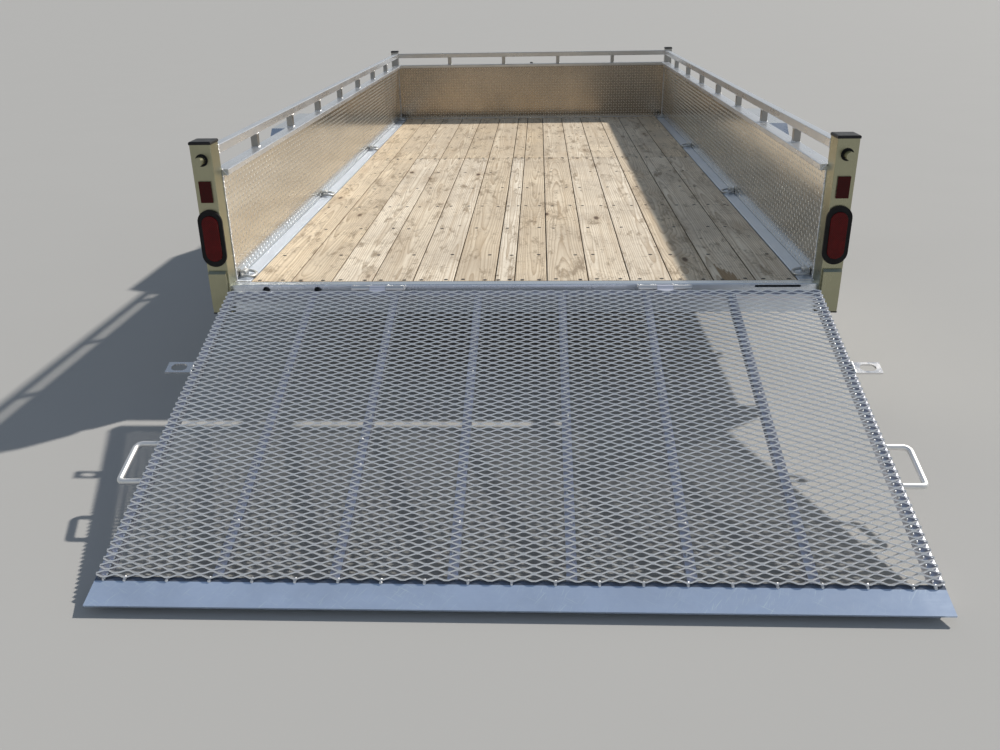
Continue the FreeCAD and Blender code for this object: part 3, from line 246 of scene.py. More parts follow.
yaw, down, roll = (math.radians(a) for a in (CAMERA_YAW, CAMERA_DOWN, CAMERA_ROLL))
ahead = Vector((math.sin(yaw) * math.cos(down), math.cos(yaw) * math.cos(down), -math.sin(down)))
level_right = Vector((math.cos(yaw), -math.sin(yaw), 0))
level_up = level_right.cross(ahead)
right = level_right * math.cos(roll) + level_up * math.sin(roll)
up = level_up * math.cos(roll) - level_right * math.sin(roll)

camera_data = bpy.data.cameras.new("photo_camera")
camera_data.lens = LENS
camera_data.clip_end = CAMERA_REACH
camera = linked("photo_camera", camera_data)
camera.matrix_world = placing(right, up, -ahead, CAMERA_PLACE)
bpy.context.scene.camera = camera
bpy.context.scene.view_settings.view_transform = "Standard"
print("camera at", tuple(CAMERA_PLACE), "lens", LENS)

# %% [markdown]
# ## Studio: floor, sky and one wide lamp
# Metal shows what is around it, so a bare white room would turn every rail white.
# A sky that is brightest low down and deeper and cooler overhead gives the rails
# bluish tops, deepened by a painted blue reflection in their tints, and leaves the
# shade under them dark. One warm lamp stands where the sun stood, ahead and to the
# right, and is wider than the sun so that its shadows have soft edges. The pale floor
# reaches the horizon, keeps the trailer's shadow and has the tone of the sky's edge, so both run together.

# %% Floor
FLOOR_HALF = 450.0
FLOOR_TONE = (0.44, 0.44, 0.43)
FLOOR_MOTTLE, FLOOR_CELLS = 0.97, 1.5

floor_mesh = bpy.data.meshes.new("floor")
corners = ((-1, -1), (1, -1), (1, 1), (-1, 1))
floor_mesh.from_pydata([(x * FLOOR_HALF, y * FLOOR_HALF, 0) for x, y in corners], [], [(0, 1, 2, 3)])
floor = linked("floor", floor_mesh)
floor_finish, shader, place = fresh("studio floor", Roughness=0.9, Specular_IOR_Level=0.2)
feed(shader.inputs["Base Color"], tinted(
    noise(place, FLOOR_CELLS, 4.0), FLOOR_TONE, times(FLOOR_TONE, FLOOR_MOTTLE)))
floor_mesh.materials.append(floor_finish)

# %% Sky and lamp
SKY_TOP = (0.27, 0.36, 0.52)
SKY_LOW = (0.90, 0.96, 1.0)
SKY_EDGE = (0.90, 0.90, 0.89)
SKY_STRENGTH = 0.52
LAMP_STRENGTH = 3.85
LAMP_WARMTH = (1.0, 0.94, 0.86)
LAMP_WIDTH = 1.8
LAMP_DIRECTION = Vector((-0.94, -0.75, -1.0))

world = bpy.data.worlds.new("studio sky")
bpy.context.scene.world = world
world.use_nodes = True
background = world.node_tree.nodes["Background"]
height = axes(Wire(put(world.node_tree, "ShaderNodeTexCoord").outputs["Generated"]))[2]
low_sky = tinted(ramped(height, 0.0, 0.2), SKY_EDGE, SKY_LOW)
feed(background.inputs["Color"], tinted(ramped(height, 0.3, 0.85), low_sky, SKY_TOP))
background.inputs["Strength"].default_value = SKY_STRENGTH

lamp_data = bpy.data.lights.new("wide lamp", "SUN")
lamp_data.energy = LAMP_STRENGTH
lamp_data.color = LAMP_WARMTH
lamp_data.angle = math.radians(LAMP_WIDTH)
lamp = linked("wide lamp", lamp_data)
lamp.rotation_euler = LAMP_DIRECTION.to_track_quat("-Z", "Y").to_euler()
print("studio ready")

# %% [markdown]
# ## Effects that several finishes share
# Mill-finish aluminium is not one colour. Extruding leaves long fine lines, handling
# leaves cloudy marks and thin scratches, and the road leaves a film of dust that is
# thickest low down. Each effect is a group with its own inputs, so one drawing of it
# serves every finish at its own scale.

# %% Shared effects
ORIGIN = (0.0, 0.0, 0.0)


def effect_group(name, output, **inputs):
    """A group for an effect that is drawn over a place and gives one number."""
    tree, given, ends = new_group(name, "ShaderNodeTree", {"Place": ORIGIN, **inputs}, {output: SOCKETS[float]})
    return tree, given, ends[output]


def drawn_lines_group():
    """Long fine lines from extruding or rolling. Stretch is how many lines lie in a metre by axis."""
    tree, given, end = effect_group("Drawn lines", "Lines", Stretch=(300, 300, 4))
    feed(end, long_noise(given["Place"], given["Stretch"], 3.0, 0.6))
    return tree


def cloudy_marks_group():
    """Soft uneven marks, Size metres across, sharper as Edge falls."""
    tree, given, end = effect_group("Cloudy marks", "Mask", Size=0.2, Edge=0.2)
    cloud = noise(given["Place"], 1.0 / given["Size"], 5.0, 0.62, 0.4)
    feed(end, ramped(cloud, 0.5 - given["Edge"], given["Edge"] + 0.5))
    return tree


def scratches_group():
    """Thin scratches in three directions, stronger as Amount rises."""
    tree, given, end = effect_group("Fine scratches", "Mask", Amount=0.3)
    total = None
    for turn, stretch in ((0.5, (14, 420, 60)), (-0.9, (11, 380, 50)), (1.9, (20, 520, 70))):
        turned = put(tree, "ShaderNodeVectorRotate", {"Vector": given["Place"], "Angle": turn},
                     rotation_type="Z_AXIS")
        line = ramped(long_noise(Wire(turned.outputs[0]), stretch, 1.0), 0.66, 0.74)
        total = line if total is None else maths("MAXIMUM", total, line)
    patch = ramped(noise(given["Place"], 6.0, 2.0), 0.4, 0.6)
    feed(end, total * patch * given["Amount"])
    return tree


def road_dust_group():
    """A film of dust that fades out at Reach metres above the ground."""
    tree, given, end = effect_group("Road dust", "Mask", Reach=0.6)
    near = ramped(axes(given["Place"])[2], 0.0, given["Reach"], 1.0, 0.0)
    grains = ramped(noise(given["Place"], 38.0, 6.0, 0.7), 0.35, 0.75)
    feed(end, near * grains)
    return tree


DRAWN, CLOUDY, SCRATCHED, DUSTY = (
    drawn_lines_group(), cloudy_marks_group(), scratches_group(), road_dust_group())


def effect(group, place, **inputs):
    """Place a shared effect in a material, with its own values."""
    node = put(place.tree, "ShaderNodeGroup", node_tree=group)
    for name, value in {"Place": place, **inputs}.items():
        feed(node.inputs[name], value)
    return Wire(node.outputs[0])


print("effects", [g.name for g in (DRAWN, CLOUDY, SCRATCHED, DUSTY)])

# %% [markdown]
# ## Metal finishes
# Every metal here is a Principled surface with Metallic near one. What tells them
# apart is tint, gloss, how strong the drawn lines are, and how much dust they hold.
# One function builds them all, and the drawn lines follow the length of each piece.

# %% Metal
ALONG = {"x": (1.2, 420, 420), "y": (420, 1.2, 420), "z": (420, 420, 1.2)}
DUST = (0.36, 0.33, 0.28)
LINE_SHADE, SCRATCH_LIGHT = 0.66, 1.25
SWAY_CELLS = 3.2


def metal(name, tint, gloss_low, gloss_high, axis="y", dull=0.84, marks=0.25, dust=0.0, scratches=0.0,
          reach=0.6, depth=0.00012, sway=0.0, grain=0.22, bare=1.0):
    """Metal whose roughness runs from gloss_low to gloss_high with the lines and marks.

    Dull and grain darken the marks and the lines, sway bends the sheet, and bare
    falls as the metal oxidises.
    """
    material, shader, place = fresh(name, Metallic=bare)
    lines = effect(DRAWN, place, Stretch=ALONG[axis])
    cloud = effect(CLOUDY, place, Size=marks, Edge=0.16)
    colour = tinted(cloud * 0.8, tint, times(tint, dull))
    colour = tinted(lines * grain, colour, times(tint, LINE_SHADE))
    rough = lines * 0.5 + cloud * 0.5
    height = lines
    if scratches:
        cut = effect(SCRATCHED, place, Amount=scratches)
        colour = tinted(cut, colour, times(tint, SCRATCH_LIGHT))
        rough = rough + cut * 0.6
        height = height - cut
    if sway:
        height = height + noise(place, SWAY_CELLS, 1.0) * sway
    rough = ramped(rough, 0.2, 0.8, gloss_low, gloss_high)
    if dust:
        film = effect(DUSTY, place, Reach=reach) * dust
        colour = tinted(film, colour, DUST)
        rough = rough + film * 0.5
        feed(shader.inputs["Metallic"], ramped(film, 0.0, 1.0, bare, 0.0))
    feed(shader.inputs["Base Color"], colour)
    feed(shader.inputs["Roughness"], rough)
    bumped(shader, height, 0.5, depth)
    return material


SATIN = {axis: metal("satin aluminium " + axis, (0.80, 0.81, 0.82), 0.30, 0.46, axis, dull=0.8, dust=0.2)
         for axis in "xyz"}
# The dark olive tint of the posts, bumper blocks and latch pins is painted shade and a painted reflection of
# grass.
POST = metal("post aluminium", (0.40, 0.395, 0.275), 0.26, 0.40, "z", dull=0.9, scratches=0.25, dust=0.05)
# The blue in the tints of the top, mid and side rails, the sill and the ramp bars is a painted reflection of
# the sky.
RAIL = metal("rail aluminium", (0.78, 0.81, 0.86), 0.22, 0.38, bare=0.8)
SIDE_RAIL = metal("side rail aluminium", (0.78, 0.86, 0.98), 0.30, 0.44, dull=0.9, marks=0.5,
                  grain=0.28, bare=0.6)
SILL = metal("sill aluminium", (0.80, 0.86, 0.94), 0.22, 0.38, "x", marks=0.2, grain=0.35)
# The spindles' and front posts' dark tint is painted shade and a painted reflection of dark surroundings.
SPINDLE = metal("spindle aluminium", (0.37, 0.365, 0.35), 0.26, 0.42, "z", dull=0.85)
FRONT_RAIL = metal("front rail aluminium", (0.54, 0.53, 0.51), 0.24, 0.40, "x", dull=0.85)
RAMP_BAR = metal("ramp bar aluminium", (0.80, 0.82, 0.92), 0.34, 0.48, dull=0.85, marks=0.1, bare=0.8)
SHEET = metal("polished tread sheet", (0.79, 0.775, 0.735), 0.12, 0.22, marks=0.7,
              dust=0.05, depth=0.0002, sway=0.6)
# The front sheet's dark brown tint is painted shade and a painted reflection of the deck.
FRONT_SHEET = metal("front tread sheet", (0.41, 0.348, 0.277), 0.14, 0.26, "x", dull=0.75, marks=0.5,
                    dust=0.05, depth=0.0002, sway=0.6)
LUG = metal("tread lugs", (0.70, 0.685, 0.645), 0.22, 0.34, "x", dull=0.85, marks=0.3)
# The front lugs' warm, bright tint is partly polished lug tops and partly a painted reflection of the deck.
FRONT_LUG = metal("front tread lugs", (0.90, 0.79, 0.63), 0.26, 0.40, "x", dull=0.85, marks=0.3)
FENDER = metal("fender sheet", (0.80, 0.82, 0.85), 0.20, 0.36, dull=0.9, marks=0.4, dust=0.15,
               reach=0.7, depth=0.0003, sway=1.5)
# The plate's strong blue tint is a painted reflection of the sky.
PLATE = metal("ramp plate", (0.66, 0.79, 1.0), 0.13, 0.19, "x", dull=0.82, marks=0.16, scratches=0.6,
              dust=0.05, bare=0.6)
BRIGHT = metal("bright aluminium", (0.88, 0.88, 0.88), 0.18, 0.32, dull=0.92, marks=0.05, dust=0.05)
STRAND = metal("expanded aluminium", (0.94, 0.95, 0.97), 0.30, 0.46, "x", dull=0.86, marks=0.15)
HANDLE = metal("handle rod", (0.92, 0.92, 0.91), 0.46, 0.60, dull=0.95, marks=0.05, dust=0.05)
WELD = metal("weld metal", (0.95, 0.95, 0.95), 0.30, 0.55, "x", dull=0.7, marks=0.01)
ZINC = metal("galvanised steel", (0.62, 0.64, 0.65), 0.34, 0.60, "z", dull=0.72, marks=0.02, dust=0.35)
# Painted shade on the plate above its fold, under the mesh end.
FOLD_Y = ahead_of_posts(-1200.4)
FOLD_PAINTED_SHADE = (0.08, 0.09, 0.12)
BARE_SHEET = (0.76, 0.755, 0.735)


def changed_ahead_of(material, line, blend, colour, amount):
    """Bring another colour in ahead of a line across the trailer."""
    socket = material.node_tree.nodes["Principled BSDF"].inputs["Base Color"]
    plain = Wire(socket.links[0].from_socket)
    along = axes(Wire(put(plain.tree, "ShaderNodeTexCoord").outputs["Object"]))[1]
    feed(socket, tinted(ramped(along, line - blend, line + blend, 0.0, amount), plain, colour))


# The plate is dark above its fold: painted shade of the mesh end that overhangs it.
changed_ahead_of(PLATE, FOLD_Y, MM, FOLD_PAINTED_SHADE, 0.85)
# The front wall's inside carries the painted shade and painted deck reflection; its outside keeps the bare
# sheet colour.
front_low, front_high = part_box("front_panel")
changed_ahead_of(FRONT_SHEET, (front_low[1] + front_high[1]) / 2, 0.1 * MM, BARE_SHEET, 1.0)
print("metals made")

# %% [markdown]
# ## Paint, rubber and lamp plastic
# These are not metals, so their colour comes from the surface and their gloss from a
# low or high roughness. Paint wears in cloudy marks, rubber greys with dust, and the
# lamp lens is a deep red plastic with fine ribs moulded on its back.

# %% Paint, rubber and plastic
COAT_GRAIN, COAT_DEPTH = 900.0, 0.0002


def coated(name, colour, roughness, marks=0.03, lift=1.6, dust=0.02, reach=0.9, **settings):
    """Paint, rubber or plastic with cloudy wear, a fine grain and dust."""
    material, shader, place = fresh(name, **settings)
    cloud = effect(CLOUDY, place, Size=marks, Edge=0.2)
    tone = tinted(cloud * 0.6, colour, [min(1.0, part * lift + 0.01) for part in colour])
    rough = ramped(cloud, 0.0, 1.0, roughness, roughness + 0.15)
    if dust:
        film = effect(DUSTY, place, Reach=reach) * dust
        tone = tinted(film, tone, DUST)
        rough = rough + film * 0.5
    feed(shader.inputs["Base Color"], tone)
    feed(shader.inputs["Roughness"], rough)
    bumped(shader, noise(place, COAT_GRAIN, 3.0), 0.4, COAT_DEPTH)
    return material


RUBBER = coated("black rubber", (0.008, 0.008, 0.009), 0.34, Specular_IOR_Level=0.3)
GROMMET = coated("lamp grommet", (0.006, 0.006, 0.007), 0.45, Specular_IOR_Level=0.15)
TYRE = coated("tyre rubber", (0.022, 0.022, 0.022), 0.62, marks=0.06, dust=0.55, reach=0.7)
BLACK = coated("black paint", (0.012, 0.012, 0.013), 0.28, dust=0.35)
SILVER = coated("silver paint", (0.52, 0.53, 0.54), 0.30, lift=1.1, dust=0.3, Metallic=0.55)
# Near-black: the screw heads' own dark metal, and painted shade of the countersunk pockets around them.
SCREW = coated("dark screw heads", (0.030, 0.024, 0.019), 0.50, marks=0.004, dust=0.0)

LENS_TINT = (0.14, 0.005, 0.006)
LENS_RIBS, RIB_DEPTH = 900.0, 0.0004
REFLECTOR_LOW, REFLECTOR_HIGH, REFLECTOR_SHADE = 0.64, 0.66, 0.25


def lens(name, colour, ribs):
    """Deep red lamp plastic: ribs on its back, glossy front, darker in the reflectors above the lamps."""
    material, shader, place = fresh(name, Coat_Weight=0.05, Coat_Roughness=0.05, Specular_IOR_Level=0.15)
    x, _, z = axes(place)
    cells = maths("SINE", x * ribs) * maths("SINE", z * ribs)
    cloud = effect(CLOUDY, place, Size=0.03, Edge=0.2)
    glow = cells * 0.22 + (cloud * 0.3 + 0.35)
    glow = glow * ramped(z, REFLECTOR_LOW, REFLECTOR_HIGH, 1.0, REFLECTOR_SHADE)
    feed(shader.inputs["Base Color"], tinted(glow, times(colour, 0.22), colour))
    feed(shader.inputs["Roughness"], ramped(cloud, 0.0, 1.0, 0.12, 0.24))
    bumped(shader, cells, 0.25, RIB_DEPTH)
    return material


LENS_RED = lens("red lens", LENS_TINT, LENS_RIBS)
print("paint, rubber and plastic made")

# %% [markdown]
# ## Giving the frame's own shapes their finish
# The rails, posts, sills, walls and running gear are right as they come from the
# frame, so only their material slots change. Drawn lines follow each bar's length.

# %% Finishes by node
FINISHES = {
    "side_rails": SIDE_RAIL, "rear_sill": SILL, "front_sill": SILL, "crossmembers": SATIN["x"],
    "front_panel": FRONT_SHEET, "mid_rail_front": FRONT_RAIL, "top_rail_front": FRONT_RAIL,
    "spindles": SPINDLE, "wall_stakes": SATIN["z"], "front_posts": SPINDLE,
    "post_caps": RUBBER, "bumper_blocks": POST, "lamp_rims": GROMMET, "rear_lenses": LENS_RED,
    "latch_pins": POST, "pin_bumpers": GROMMET, "tie_downs": ZINC,
    "axle_beam": BLACK, "torsion_arms": BLACK,
    "coupler": ZINC, "coupler_latch": ZINC, "jack_plate": SATIN["x"], "jack_tube": ZINC,
    "jack_crank": BLACK, "jack_leg": ZINC,
    "ramp_frame": RAMP_BAR, "ramp_plate": PLATE, "ramp_handles": HANDLE, "ramp_brackets": BRIGHT,
    "gate_hinges": SATIN["x"],
}
PAIRS = {
    "side_panel": SHEET, "mid_rail": RAIL, "top_rail": RAIL, "rear_post": POST, "fender": FENDER,
    "wheel_rim": SILVER, "wheel_hub": ZINC, "tongue_rail": SATIN["y"],
}
for name, material in PAIRS.items():
    for side in ("left", "right"):
        FINISHES[name + "_" + side] = material
for name, material in FINISHES.items():
    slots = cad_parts[name].material_slots
    if not slots:
        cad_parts[name].data.materials.append(material)
    for slot in slots:
        slot.material = material
print("finished nodes", len(FINISHES), "left to replace", sorted(set(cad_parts) - set(FINISHES)))

# %% [markdown]
# ## Turning a geometry tree into a plain piece
# A tree of geometry nodes makes shapes that repeat from a few points or lines. Each
# tree names its sizes with their usual values, and a piece says only what differs. The
# helpers below put the seed mesh on an object, set those inputs, take the result as a
# plain mesh and throw the seed away, so the finished piece has no modifier left and
# can ride on its body.

# %% Growing a piece
GEOMETRY = "NodeSocketGeometry"


def geometry_group(name, **inputs):
    """A tree that grows a shape from a seed mesh and gives it one finish."""
    sizes = {label.replace("_", " "): value for label, value in inputs.items()}
    return new_group(name, "GeometryNodeTree", {
        "Seed": GEOMETRY, **sizes, "Finish": "NodeSocketMaterial"}, {"Shape": GEOMETRY})


def seal(tree, given, ends, shape, smooth=False):
    """End a tree as every tree here ends: real mesh, shading, one material."""
    real = put(tree, "GeometryNodeRealizeInstances", {0: shape})
    shaded = put(tree, "GeometryNodeSetShadeSmooth", {0: real, "Shade Smooth": smooth})
    feed(ends["Shape"], put(tree, "GeometryNodeSetMaterial", {0: shaded, "Material": given["Finish"]}))


def swept(tree, given, outline):
    """The seed's lines as bars with an outline, kept upright and closed at their ends."""
    lines = put(tree, "GeometryNodeMeshToCurve", {0: given["Seed"]})
    upright = put(tree, "GeometryNodeSetCurveNormal", {0: lines}, mode="Z_UP")
    return put(tree, "GeometryNodeCurveToMesh", {
        "Curve": upright, "Profile Curve": outline, "Fill Caps": True})


def cone(tree, sides, top, bottom, depth=1.0):
    """A cone with a few flat sides and its tip cut off."""
    return put(tree, "GeometryNodeMeshCone", {
        "Vertices": sides, "Side Segments": 1, "Fill Segments": 1,
        "Radius Top": top, "Radius Bottom": bottom, "Depth": depth})


def disc(tree, sides, radius, depth):
    """A flat cylinder with a few sides."""
    return put(tree, "GeometryNodeMeshCylinder", {"Vertices": sides, "Radius": radius, "Depth": depth})


def on_points(tree, points, shape, **settings):
    """A copy of a shape on every point."""
    return put(tree, "GeometryNodeInstanceOnPoints", {"Points": points, "Instance": shape, **settings})


def together(tree, parts):
    """Several shapes of a tree as one."""
    both = put(tree, "GeometryNodeJoinGeometry")
    for part in parts:
        feed(both.inputs[0], part)
    return both


def seed_mesh(name, points, lines=(), **values):
    """Points and lines for a tree to grow from, each point with its own numbers."""
    mesh = bpy.data.meshes.new(name)
    mesh.from_pydata([tuple(p) for p in points], list(lines), [])
    for label, numbers in values.items():
        mesh.attributes.new(label, "FLOAT", "POINT").data.foreach_set("value", list(numbers))
    return mesh


def grow(name, tree, mesh, place=None, **inputs):
    """The mesh that a tree makes from a seed mesh, moved to its place. Other inputs keep their usual values."""
    seed = linked(name + "_seed", mesh)
    modifier = seed.modifiers.new("grow", "NODES")
    modifier.node_group = tree
    known = {item.name: item.identifier for item in tree.interface.items_tree
             if item.item_type == "SOCKET" and item.in_out == "INPUT"}
    for label, value in inputs.items():
        modifier[known[label.replace("_", " ")]] = value
    graph = bpy.context.evaluated_depsgraph_get()
    result = bpy.data.meshes.new_from_object(
        seed.evaluated_get(graph), preserve_all_data_layers=True, depsgraph=graph)
    bpy.data.objects.remove(seed)
    result.name = name
    if place is not None:
        result.transform(place)
    return result


def joined(name, meshes):
    """Several meshes as one, with their attributes and their one material."""
    things = [linked("part", mesh) for mesh in meshes]
    with bpy.context.temp_override(active_object=things[0], object=things[0],
                                   selected_objects=things, selected_editable_objects=things):
        bpy.ops.object.join()
    mesh = things[0].data
    bpy.data.objects.remove(things[0])
    mesh.name = name
    return mesh


def piece(name, mesh, body, slot, *stands_for):
    """A finished piece: its mesh, the body it rides on, and the nodes it stands for."""
    thing = linked(name, mesh)
    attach(thing, body)
    if stands_for:
        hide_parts(*stands_for)
    mesh.calc_loop_triangles()
    print("piece", name, "triangles", len(mesh.loop_triangles))
    return thing


# %% [markdown]
# ## Planks of the deck
# The deck is fourteen rows of pine planks, each row in two lengths that meet on a
# crossmember, with the two narrow rows ripped to fit in the middle. A plank is a
# rounded rectangle drawn along a line, so one tree sweeps them all. Every line also
# carries numbers for its own grain: where the tree's heart lies, how deep, how the
# log tapers and how pale the plank is.

# %% Plank rows
WIDE, NARROW, FITTED = 139 * MM, 65 * MM, 109 * MM
NARROW_X, FITTED_X = -56 * MM, 34 * MM
PLANK_PITCH, WIDE_ROWS = 142 * MM, 6
PLANK_LOW, PLANK_HIGH = 343 * MM, 381 * MM
DECK_REAR, DECK_JOINT, DECK_FRONT = (ahead_of_posts(y) for y in (56, 2438.4, 4157))
END_GAP = 2 * MM
DECK_HALF = 941 * MM
PLANK_EDGE = 2.5 * MM

places = [DECK_HALF - WIDE / 2 - k * PLANK_PITCH for k in range(WIDE_ROWS)]
columns = [(-x, WIDE) for x in places] + [(NARROW_X, NARROW), (FITTED_X, FITTED)] + [(x, WIDE) for x in places]
print("plank rows", len(columns))

# %% Plank tree
PLANKS, given, ends = geometry_group(
    "Planks", Plank_Width=WIDE, Plank_Thickness=PLANK_HIGH - PLANK_LOW, Edge_Radius=PLANK_EDGE)
outline = put(PLANKS, "GeometryNodeCurvePrimitiveQuadrilateral", {
    "Width": given["Plank Width"], "Height": given["Plank Thickness"]})
eased = put(PLANKS, "GeometryNodeFilletCurve", {
    "Curve": outline, "Radius": given["Edge Radius"], "Count": 2}, mode="POLY")
seal(PLANKS, given, ends, swept(PLANKS, given, eased))

# %% [markdown]
# ## Pine
# Flat-sawn pine shows arches where the growth rings run out along the plank. The
# rings are drawn as they are in a log: circles around a heart line that lies below
# the plank, widened by the log's taper and by slow noise. Darker late wood, fine
# fibres, knots that push the rings aside, and weathering lie over them. Every plank's
# own tone also moves the pattern, so that no two planks are cut from the same place.

# %% Parts of the pine
PALE, WARM = (1.0, 0.915, 0.765), (0.78, 0.65, 0.465)
RINGS_IN_METRE, RING_WAVES, KNOT_PUSH = 135.0, 4.6, 3.2
TONE_SHIFT = 37.0
STAIN_X, STAIN_WIDTH, STAIN_LENGTH = 688 * MM, 72 * MM, 215 * MM
STAIN_START = ahead_of_posts(58)
# The planks' sides are darker from just under the top face down.
SEAM_DARK_LOW, SEAM_DARK_HIGH = PLANK_HIGH - 1.8 * MM, PLANK_HIGH - 0.5 * MM


def plank_number(tree, label):
    """One of the numbers that a plank's line carries."""
    return Wire(put(tree, "ShaderNodeAttribute", attribute_name=label).outputs["Fac"])


def scattered(own, stretch, randomness, channel, share):
    """The distance to scattered points, and a mask that keeps only the points above a share."""
    spots = put(own.tree, "ShaderNodeTexVoronoi", {
        "Vector": stretched(own, stretch), "Scale": 1.0, "Randomness": randomness}, feature="F1")
    chance = put(own.tree, "ShaderNodeSeparateColor", {0: spots.outputs["Color"]}).outputs[channel]
    return Wire(spots.outputs["Distance"]), ramped(Wire(chance), share, share + 0.04)


def late_wood(own, x, y, push):
    """The dark lines of the growth rings, each sharp on its outer side."""
    heart, depth, taper = (plank_number(own.tree, label) for label in ("heart", "depth", "taper"))
    across = x - heart
    radius = maths("SQRT", across * across + depth * depth)
    slow = long_noise(own, (7, 1.3, 7), 2.5)
    part = maths("FRACT", (radius + y * taper) * RINGS_IN_METRE + slow * RING_WAVES + push * KNOT_PUSH)
    return part ** 3.0 * ramped(part, 0.93, 1.0, 1.0, 0.0)


def water_stain(own, x, y):
    """The ragged brown corner that water left on one plank at the right rear."""
    over = (x - STAIN_X) / STAIN_WIDTH
    along = (y - STAIN_START) / STAIN_LENGTH
    ragged = (long_noise(own, (110, 16, 1)) - 0.5) * 1.3
    return ramped(over + along + ragged, 0.86, 1.0, 0.8, 0.0) * ramped(over, 0.0, 0.06)


# %% Pine material
def pine(name):
    """Weathered flat-sawn pine, built up in layers that each bring in a colour by a mask."""
    material, shader, place = fresh(name, Specular_IOR_Level=0.3)
    tone = plank_number(place.tree, "tone")
    x, y, z = axes(place)
    shift = tone * TONE_SHIFT
    own = vector(x + shift, y + shift, z)

    knot_distance, knot_share = scattered(own, (7.0, 2.6, 0.5), 0.9, 0, 0.50)
    fleck_distance, fleck_share = scattered(own, (15.0, 7.5, 0.5), 1.0, 1, 0.60)
    push = ramped(knot_distance, 0.0, 0.42, 1.0, 0.0) ** 2.0 * knot_share
    knot = ramped(knot_distance, 0.05, 0.10, 1.0, 0.0) * knot_share
    fleck = ramped(fleck_distance, 0.03, 0.11, 1.0, 0.0) * fleck_share

    late = late_wood(own, x, y, push)
    fibre = long_noise(own, (620, 9, 620), 2.0, 0.6)
    streak = long_noise(own, (60, 1.1, 60), 3.0, 0.6)
    grey = effect(CLOUDY, own, Size=0.42, Edge=0.13)
    smear = long_noise(own, (19, 5, 1), 6.0, 0.78, 0.3)
    scuff = long_noise(own, (26, 48, 1), 3.0, 0.65, 2.0)
    scuffed = ramped(noise(own, 2.3, 1.0), 0.48, 0.62)

    colour = tinted(tone, PALE, WARM)
    for mask, layer in (
            (late * 0.88, (0.35, 0.235, 0.13)),
            (ramped(streak, 0.45, 0.72, 0.0, 0.55), (0.50, 0.37, 0.23)),
            (ramped(fibre, 0.4, 0.8, 0.0, 0.35), (0.50, 0.39, 0.26)),
            (grey * 0.38, (0.40, 0.34, 0.27)),
            (push * 0.5, (0.42, 0.29, 0.16)),
            (knot * 0.9, (0.09, 0.05, 0.03)),
            (fleck * 0.85, (0.12, 0.08, 0.05)),
            (ramped(smear, 0.52, 0.64, 0.0, 0.84), (0.30, 0.23, 0.155)),
            (ramped(scuff, 0.60, 0.66, 0.0, 0.85) * scuffed, (0.16, 0.12, 0.08)),
            (water_stain(own, x, y), (0.24, 0.145, 0.06)),
            # The planks' sides, darker from just under the top face down.
            (ramped(z, SEAM_DARK_LOW, SEAM_DARK_HIGH, 0.75, 0.0), (0.13, 0.085, 0.05))):
        colour = tinted(mask, colour, layer)

    feed(shader.inputs["Base Color"], colour)
    feed(shader.inputs["Roughness"], ramped(fibre, 0.2, 0.8, 0.62, 0.80))
    bumped(shader, fibre * 0.6 + late * 0.5, 0.6, 0.0004)
    return material


PINE = pine("pine planks")

# %% Sweeping the planks
random.seed(11)
middle = (PLANK_LOW + PLANK_HIGH) / 2
plank_meshes = []
for width in (WIDE, NARROW, FITTED):
    points, lines, numbers = [], [], {"heart": [], "depth": [], "taper": [], "tone": []}
    for centre in [x for x, plank_width in columns if plank_width == width]:
        for far, start, end in ((0, DECK_REAR, DECK_JOINT), (1, DECK_JOINT, DECK_FRONT)):
            lines.append((len(points), len(points) + 1))
            points += [(centre, start + END_GAP, middle), (centre, end - END_GAP, middle)]
            own = {"heart": centre + random.uniform(-0.05, 0.05), "depth": random.uniform(0.012, 0.055),
                   "taper": random.choice((-1, 1)) * random.uniform(0.006, 0.022),
                   "tone": 0.75 * random.random() + 0.25 * far}
            for label, value in own.items():
                numbers[label] += [value, value]
    seed = seed_mesh("plank_lines", points, lines, **numbers)
    plank_meshes.append(grow("planks", PLANKS, seed, Plank_Width=width, Finish=PINE))

deck = piece("deck_planks", joined("deck_planks", plank_meshes), "trailer", "pine", "deck_boards")
print("deck reaches", [round(v, 3) for v in deck.dimensions])

# %% [markdown]
# ## Screws in the planks
# Two screws hold each plank's end and one or two hold it on every crossmember. A
# screw head is a low disc with a cross on it, eight-sided because there are
# hundreds. Points with a slightly uneven place give a hand-driven look.

# %% Screw tree
# The heads are wider than real ones, so their dark discs also paint the shade of the pockets around them.
HEAD_RADIUS, HEAD_HEIGHT = 7.4 * MM, 1.0 * MM
FULL_TURN = 6.28

SCREWS, given, ends = geometry_group("Plank screws", Head_Radius=HEAD_RADIUS, Head_Height=HEAD_HEIGHT)
head = disc(SCREWS, 8, given["Head Radius"], given["Head Height"])
bar_long = given["Head Radius"] * 1.1
bar = put(SCREWS, "GeometryNodeMeshCube", {
    "Size": vector(bar_long, bar_long * 0.22, given["Head Height"] * 1.3)})
cross = put(SCREWS, "GeometryNodeTransform", {0: bar, "Rotation": (0, 0, math.pi / 2)})
turn = put(SCREWS, "FunctionNodeRandomValue", {0: (0, 0, 0), 1: (0, 0, FULL_TURN), "Seed": 5},
           data_type="FLOAT_VECTOR")
seal(SCREWS, given, ends, on_points(
    SCREWS, given["Seed"], together(SCREWS, (head, bar, cross)), Rotation=turn))

# %% Screws on the crossmembers
SCREW_ROWS = [71, 381, 787.7, 1194, 1600.5, 2007, 2413, 2450, 2820, 3226, 3632.5, 4039, 4142]
END_ROWS, DOUBLE_ROWS = (0, 6, 7, 12), (3, 9)
PAIR_SHARE, SINGLE_SHARE = 0.29, 0.27

